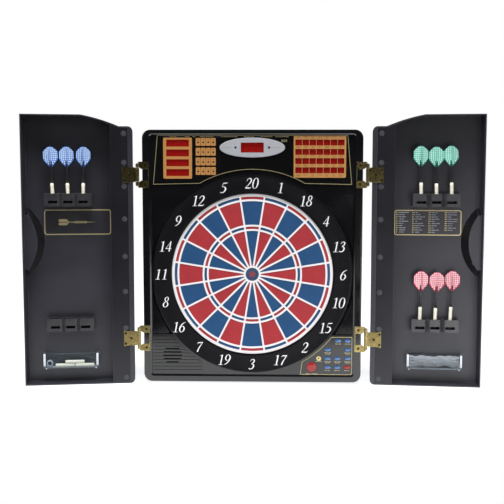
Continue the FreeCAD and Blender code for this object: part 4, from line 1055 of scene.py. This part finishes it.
def make_left_emblem():
    """Plain gold dart, point towards the hinge, in the middle of the left label."""
    middle_s, middle_z = (label_s0 + label_s1) / 2, (label_z0 + label_z1) / 2
    fin = [(21, 0.7), (27, 7.5), (44, 7.5), (47, 4.5), (45, 0.9)]
    outlines = [[(-46, 0), (-22, 0.9), (-22, -0.9)], round_rect(-22, 8, -2.6, 2.6, 1.4, 3),
                rect(7, 24, -1.0, 1.0), fin, [(x, -z) for x, z in fin]]
    grooves = [rect(-18 + 3.2 * i, -17 + 3.2 * i, -2.7, 2.7) for i in range(8)]
    shape = Shape()
    loops, holes = ([[(middle_s + x, middle_z + z) for x, z in loop] for loop in group]
                    for group in (outlines, grooves))
    plate(shape, loops, floor_y - 0.24, floor_y - 0.10, holes)
    door_piece(-1, "label_emblem", shape, "gold_frame")


def make_right_table():
    """Columns of short gold and grey bars that stand for the list of games."""
    codes, words = Shape(), Shape()
    column_pitch, row_pitch, rows = 39.2, 5.35, 10
    front, back = floor_y - 0.22, floor_y - 0.10
    for column in range(4):
        s = label_s0 + 3.2 + column_pitch * column
        for row in range(rows - (column == 3)):
            z = label_z1 - 5.0 - row_pitch * row
            word_bars(codes, s, s + 5.8, z, 2.3, front, back, 2.4, 3.4)
            end = s + random.uniform(15.0, 31.0)
            word_bars(words, s + 7.6, end, z, 2.1, front, back, 4.0, 12.0)
    door_piece(1, "table_codes", codes, "gold_frame")
    door_piece(1, "table_words", words, "grey_ink")


make_door_marks()
make_grip_marks()
for side, word in both_sides:
    make_label(side, word)
make_left_emblem()
make_right_table()


# ---- darts ----
barrel_r, tip_len = 4.3, 26.5
flight_foot, flight_high, flight_half = 39.5, 49.0, 17.5   # foot above the barrel's end
flight_colours = {                 # lines of the grid, then the squares
    "blue": ((50, 112, 205), (208, 230, 252)),
    "green": ((62, 172, 150), (200, 246, 234)),
    "pink": ((214, 72, 100), (246, 222, 228))}


def dart_frame(node):
    """Length of a dart's barrel, and the way from a dart that stands on the foot of its barrel to
    its place in the model."""
    tip, barrel, shaft, flight = sorted(
        solids_of(node), key=lambda solid: sum(p.z for p in solid) / len(solid))
    cloud = np.array([tuple(p) for p in barrel])
    middle = cloud.mean(0)
    axis = Vector(np.linalg.eigh(np.cov((cloud - middle).T))[1][:, -1])
    axis = axis if axis.z > 0 else -axis
    centre = Vector(middle)
    along = [(p - centre).dot(axis) for p in barrel]
    foot = centre + axis * min(along)

    def across(p):
        out = p - foot
        return out - axis * out.dot(axis)

    fin = max((across(p) for p in flight), key=lambda v: v.length).normalized()
    turn = Matrix((fin, axis.cross(fin), axis)).transposed()
    return max(along) - min(along), lambda p: turn @ p + foot


def barrel_profile(length, r):
    """Outline of a grooved barrel with rounded lands."""
    profile = [(2.2, 0.0), (3.4, 0.0), (3.7, 0.3), (r - 0.1, 4.2), (r, 4.8)]
    z = 8.0
    while z < length - 6.0:
        profile += [(r, z), (r - 0.12, z + 0.12), (r - 0.35, z + 0.3), (r - 0.35, z + 1.3),
                    (r - 0.12, z + 1.48), (r, z + 1.6)]
        z += 4.2
    return profile + [(r, length - 3.0), (r - 0.3, length - 2.4), (3.6, length - 0.2),
                      (3.3, length), (2.2, length)]


def make_tip(shape):
    """Soft tip: collar under the barrel, a few fine rings, then a slim point."""
    profile = [(1.9, 0.3), (2.7, -0.05), (2.7, -1.5), (2.5, -1.6), (1.9, -1.65), (1.88, -2.2)]
    for i in range(5):
        z, r = -2.6 - 0.9 * i, 1.84 - 0.07 * i
        profile += [(r, z), (r - 0.14, z - 0.2), (r - 0.14, z - 0.5), (r - 0.02, z - 0.7)]
    profile += [(1.25, -9.5), (0.9, 14.0 - tip_len), (0.62, 6.0 - tip_len), (0.42, 1.6 - tip_len),
                (0.24, 0.6 - tip_len), (0.02, -tip_len)]
    turned(shape, profile, 20)


def make_shaft(shape):
    """Waisted shaft that ends in four prongs which hold the flight. Its foot is at height zero."""
    prong_top = flight_foot + 12.5
    turned(shape, [(2.0, -0.4), (2.0, 0.1), (3.0, 0.15), (3.05, 0.6), (3.05, 2.7), (2.8, 3.5),
                   (2.15, 6.6), (1.95, 9.1), (1.78, 20.1), (1.82, 29.1), (2.1, 33.1), (2.6, 36.6),
                   (2.8, flight_foot - 0.2), (2.8, flight_foot)], 24)
    slot = 0.32
    for quarter in range(4):
        turn = Matrix.Rotation(math.pi / 2 * quarter, 3, "Z")
        loops = []
        for r, z in ((2.8, flight_foot - 0.1), (2.75, flight_foot + 4.0), (2.6, prong_top - 2.0),
                     (2.3, prong_top - 0.6), (1.7, prong_top)):
            first = math.asin(slot / r)
            span = math.pi / 2 - 2 * first
            ring = [Vector((slot, slot, z))] + [
                Vector((r * math.cos(a), r * math.sin(a), z))
                for a in (first + span * i / 6 for i in range(7))]
            loops.append([turn @ p for p in ring])
        loft(shape, loops)


def make_flight(shape):
    """Four fins: a sheet that shows as the lines between raised squares on both faces."""
    base, top, half = flight_foot, flight_foot + flight_high, flight_half
    edge = [(0.15, base), (3.2, base), (8.6, base + 6.3), (half - 1.9, base + 14.6),
            (half - 0.5, base + 16.2), (half, base + 18.2), (half, base + 35.2),
            (half - 0.5, base + 37.2), (half - 3.0, base + 40.2), (half - 5.0, base + 42.2),
            (half * 0.42, top - 2.4), (half * 0.2, top - 0.8), (0.15, top)]
    sheet, raised, square, pitch = 0.14, 0.25, 3.45, 4.7

    def half_width(z):
        for (r0, z0), (r1, z1) in zip(edge[1:], edge[2:]):
            if z0 <= z <= z1:
                return r0 + (r1 - r0) * (z - z0) / max(z1 - z0, 0.01)
        return 0.0

    def square_loop(x0, z0):
        """A square, cut off where it would cross the fin's edge."""
        loop = []
        for x, z in rect(x0, x0 + square, z0, z0 + square):
            reach = half_width(min(max(z, base + 0.1), top - 0.1)) - 0.45
            loop.append((min(x, max(reach, x0 + 0.2)), z))
        return loop

    for quarter in range(4):
        turn = Matrix.Rotation(math.pi / 2 * quarter, 3, "Z")
        fin = Shape()
        plate(fin, [edge], -sheet, sheet)
        row = base + 1.0
        while row + square < top - 0.5:
            x = 0.7 if row > base + 12.5 else 3.2
            while x + 1.4 < min(half_width(row), half_width(row + square)):
                for front, back in ((-raised, -sheet + 0.02), (sheet - 0.02, raised)):
                    plate(fin, [square_loop(x, row)], front, back, mark=1)
                x += pitch
            row += pitch
        shape.add([turn @ p for p in fin.points], fin.faces)
        shape.marks[-len(fin.marks):] = fin.marks


def make_darts():
    tip, shaft, flight = Shape(), Shape(), Shape()
    make_tip(tip)
    make_shaft(shaft)
    make_flight(flight)
    for colour, pair in flight_colours.items():
        finishes = ["flight_lines_" + colour, "flight_" + colour]
        for finish, rgb in zip(finishes, pair):
            plastic(finish, rgb, 0.42, 0.5, 0.01, 0.1, 12.0, 0.06)
        for number in (1, 2, 3):
            node = "dart_%s_%d" % (colour, number)
            length, place = dart_frame(node)
            barrel = Shape()
            turned(barrel, barrel_profile(length, barrel_r), 40)

            def above(p, length=length, place=place):
                return place(p + Vector((0, 0, length)))

            piece(node + "_barrel", barrel, node, ["barrel_ivory"], place, stands_for=node)
            piece(node + "_tip", tip, node, ["tip_black"], place)
            piece(node + "_shaft", shaft, node, ["shaft_black"], above, 50.0)
            piece(node + "_flight", flight, node, finishes, above)


make_darts()


# ---- what lies in the trays ----
tray_highlight_w, tray_foot_h = 5.0, 3.0


def make_tray_ends():
    """Painted highlights: bright opaque bands up both ends of each tray and on the edges of its
    feet, where the clear plastic catches the light.
    """
    for side, word in both_sides:
        low, high = door_boxes(side, "tip_tray_" + word)[0]
        shape = Shape()
        for s0, s1 in ((low.x, low.x + tray_highlight_w), (high.x - tray_highlight_w, high.x)):
            z0, z1 = low.z + tray_foot_h + 6.0, high.z
            soft_block(shape, s0, s1, z0, z1, 1.0, 3,
                       ((0.0, low.y + 0.3), (0.0, low.y - 0.1), (0.4, low.y - 0.4)))
        for s in (low.x + 6.0, high.x - 6.0):
            soft_block(shape, s - 1.6, s + 1.6, low.z, low.z + tray_foot_h, 0.8, 3,
                       ((0.0, low.y + 4.9), (0.0, low.y + 4.3), (0.4, low.y + 4.0)))
        door_piece(side, "tray_end_highlights_" + word, shape, "tray_end_highlight")


def make_spares():
    """Grooved spare barrels lying in the left tray, beside a stack of clear washers."""
    barrels, washers = Shape(), Shape()
    for low, high in door_boxes(-1, "spare_barrels"):
        middle = (low + high) / 2
        if high.x - low.x > 30:
            r, length = (high.z - low.z) / 2, high.x - low.x
            profile = [(radius if radius > 2.2 else 1.6, z)
                       for radius, z in barrel_profile(length, r)]
            turned(barrels, profile, 32, "X", (low.x, middle.y, middle.z))
        else:
            r = (high.z - low.z) / 2
            count = 5
            pitch = (high.y - low.y) / count
            for i in range(count):
                y = low.y + pitch * (i + 0.5)
                ring = [(r - pitch * 0.5 - 1.6 + 1.6 * math.cos(a), pitch * 0.46 * math.sin(a) + y)
                        for a in (math.pi * k / 6 for k in range(12))]
                turned(washers, ring, 36, "Y", (middle.x, 0, middle.z), True)
    node = "spare_barrels"
    door_piece(-1, "spare_dart_barrels", barrels, "barrel_ivory", stands_for=node)
    door_piece(-1, "spare_washers", washers, "washer_clear", 60)


def crumpled_bag(size):
    """Film bag of this size (millimetres): two sheets joined at their edges, blown up by the
    cloth simulation so that they pucker, at ten times life size."""
    across, up = 84, 22
    grow = 10 * MM
    width, height = size.x * grow, size.z * grow
    points, faces = [], []
    index = {}
    for sheet in (0, 1):
        for j in range(up + 1):
            for i in range(across + 1):
                rim = i in (0, across) or j in (0, up)
                key = (0 if rim else sheet, i, j)
                if key not in index:
                    index[key] = len(points)
                    puff = 0.0 if rim else (0.02 if sheet else -0.02)
                    sway = 0.045 * noise.noise(Vector((i * 0.07, j * 0.8, 7.0 + sheet)))
                    points.append(((i / across - 0.5) * width, puff + (0 if rim else sway),
                                   (j / up - 0.5) * height))
        for j in range(up):
            for i in range(across):
                quad = [index[(0 if a in (0, across) or b in (0, up) else sheet, a, b)]
                        for a, b in ((i, j), (i + 1, j), (i + 1, j + 1), (i, j + 1))]
                faces.append(quad if sheet == 0 else quad[::-1])
    mesh = bpy.data.meshes.new("bag_work")
    mesh.from_pydata(points, [], faces)
    work = put("bag_work", mesh)
    cloth = work.modifiers.new("cloth", "CLOTH")
    for key, value in dict(quality=6, mass=0.2, tension_stiffness=40,
                           compression_stiffness=40, bending_stiffness=0.05,
                           use_pressure=True, uniform_pressure_force=6.0).items():
        setattr(cloth.settings, key, value)
    cloth.settings.effector_weights.gravity = 0.0
    cloth.collision_settings.use_collision = False
    for number in range(1, 26):
        bpy.context.scene.frame_set(number)
    bpy.context.scene.frame_set(25)
    shown = work.evaluated_get(bpy.context.evaluated_depsgraph_get())
    result = shown.to_mesh()
    shape = Shape()
    shape.add([v.co / grow for v in result.vertices], [list(p.vertices) for p in result.polygons])
    shown.to_mesh_clear()
    bpy.data.objects.remove(work)
    bpy.context.scene.frame_set(1)
    return shape


def make_bag():
    """Bag of spare tips in the right tray."""
    low, high = door_boxes(1, "spare_tip_bag")[0]
    middle, size = (low + high) / 2, high - low
    shape = crumpled_bag(size)
    found_low, found_high = corners(shape.points)
    scale = [want / max(got, 0.01) for want, got in zip(size, found_high - found_low)]
    centre = (found_low + found_high) / 2
    for p in shape.points:
        for axis in range(3):
            p[axis] = (p[axis] - centre[axis]) * scale[axis] + middle[axis]
    node = "spare_tip_bag"
    made = door_piece(1, "tip_bag_film", shape, "bag_film", 180, node)
    smooth = made.modifiers.new("smooth", "SUBSURF")
    smooth.levels = smooth.render_levels = 1
    single = Shape()
    make_tip(single)
    heap = Shape()
    for i in range(34):
        lean = Matrix.Rotation(random.uniform(0, 2 * math.pi), 3, "Y")
        swing = Matrix.Rotation(random.uniform(-0.12, 0.12), 3, "Z")
        spot = Vector((random.uniform(low.x + 14, high.x - 14), middle.y + random.uniform(-3, 3),
                       random.uniform(low.z + 12, high.z - 12)))
        flat = Matrix.Diagonal((1.0, 1.0, 0.62))
        heap.add([swing @ flat @ lean @ (p + Vector((0, 0, 8))) + spot for p in single.points],
                 single.faces)
    door_piece(1, "spare_tips", heap, "tip_black")


make_tray_ends()
make_spares()
make_bag()


# ---- floor, light, camera ----
def make_floor():
    """White sweep lit from above that also glows: evenly white for the camera, faintly as a light
    on the object, and more strongly in reflections, growing towards +X, which brightens the
    reflections in the right door. It ends in front of the object, where the studio is dark.
    """
    low = cad_box[0]
    x, y0, y1, z = 2.4, -0.62, 3.0, low.z - 0.5 * MM
    mesh = bpy.data.meshes.new("floor")
    mesh.from_pydata([(-x, y0, z), (x, y0, z), (x, y1, z), (-x, y1, z)], [], [(0, 1, 2, 3)])
    made = Finish("floor_pale", Roughness=0.9)
    grain = made.noise(400.0, 2.0)
    path = made.add("LightPath").outputs
    lit = made.calc("MULTIPLY", path["Is Camera Ray"], 0.86)
    # Glow seen only in reflections, stronger towards +X: a made-up light that brightens the right
    # door.
    mirrored = made.span(made.axis("X"), 1.7, 3.0, 0.1, 0.6)
    for kind, strength in (("Is Diffuse Ray", 0.30), ("Is Glossy Ray", mirrored)):
        lit = made.calc("ADD", lit, made.calc("MULTIPLY", path[kind], strength))
    made.set(Base_Color=made.mottle(grain, (0.42, 0.42, 0.42, 1.0), (0.46, 0.46, 0.46, 1.0)),
             Emission_Color=(0.97, 0.985, 1.0, 1.0), Emission_Strength=lit)
    mesh.materials.append(made.material)
    put("floor", mesh)


def make_world():
    """White behind the object for the camera; a dark studio for everything else."""
    world = bpy.data.worlds.new("studio")
    bpy.context.scene.world = world
    world.use_nodes = True
    tree = world.node_tree
    background = tree.nodes["Background"]
    path = tree.nodes.new("ShaderNodeLightPath")
    strength = tree.nodes.new("ShaderNodeMix")
    strength.inputs[2].default_value = 0.05
    strength.inputs[3].default_value = 1.0
    tree.links.new(path.outputs["Is Camera Ray"], strength.inputs[0])
    tree.links.new(strength.outputs[0], background.inputs["Strength"])
    background.inputs["Color"].default_value = (1.0, 1.0, 1.0, 1.0)


def make_lights():
    """Area lamps: name, place, aim, width, height, power, whether surfaces mirror it, and whether
    it lights them."""
    over, centre = (0.0, -1.4, 4.2), (0.0, 0.0, 0.0)
    for name, place, aim, width, height, power, mirrored, lighting in (
            ("overhead", over, (0.0, -0.1, 0.0), 2.6, 1.4, 335.0, False, True),
            ("overhead_glint", over, (0.0, -0.1, 0.0), 2.6, 1.4, 30.0, True, False),
            ("right_glint", (0.75, -1.2, -0.25), (0.5, 0.0, -0.1), 0.6, 0.5, 5.5, True, False),
            ("left_softbox", (-2.4, -1.5, 1.3), centre, 1.0, 1.6, 20.0, True, True),
            ("right_softbox", (2.4, -1.5, 1.3), centre, 1.0, 1.6, 12.0, True, True),
            ("front_fill", (0.0, -2.6, 0.8), centre, 2.6, 1.4, 13.0, False, True)):
        data = bpy.data.lights.new(name, "AREA")
        data.shape = "RECTANGLE"
        data.size, data.size_y, data.energy = width, height, power
        lamp = put(name, data)
        lamp.location = place
        lamp.rotation_euler = (Vector(aim) - Vector(place)).to_track_quat("-Z", "Y").to_euler()
        lamp.visible_glossy, lamp.visible_diffuse, lamp.visible_camera = mirrored, lighting, False


def make_camera():
    azimuth, elevation, roll = (math.radians(a) for a in (1.67, 5.5, 0.04))
    distance, focal = 2.2, 64.55
    aim = Vector((-0.0004, -0.050, 0.0134))
    back = Vector((math.sin(azimuth) * math.cos(elevation),
                   -math.cos(azimuth) * math.cos(elevation), math.sin(elevation)))
    data = bpy.data.cameras.new("camera")
    data.lens, data.sensor_width = focal, 36.0
    camera = put("camera", data)
    camera.rotation_mode = "QUATERNION"
    camera.rotation_quaternion = ((-back).to_track_quat("-Z", "Y")
                                  @ Matrix.Rotation(roll, 3, "Z").to_quaternion())
    camera.location = aim + back * distance
    bpy.context.scene.camera = camera


make_floor()
make_world()
make_lights()
make_camera()
bpy.context.scene.view_settings.view_transform = "Standard"
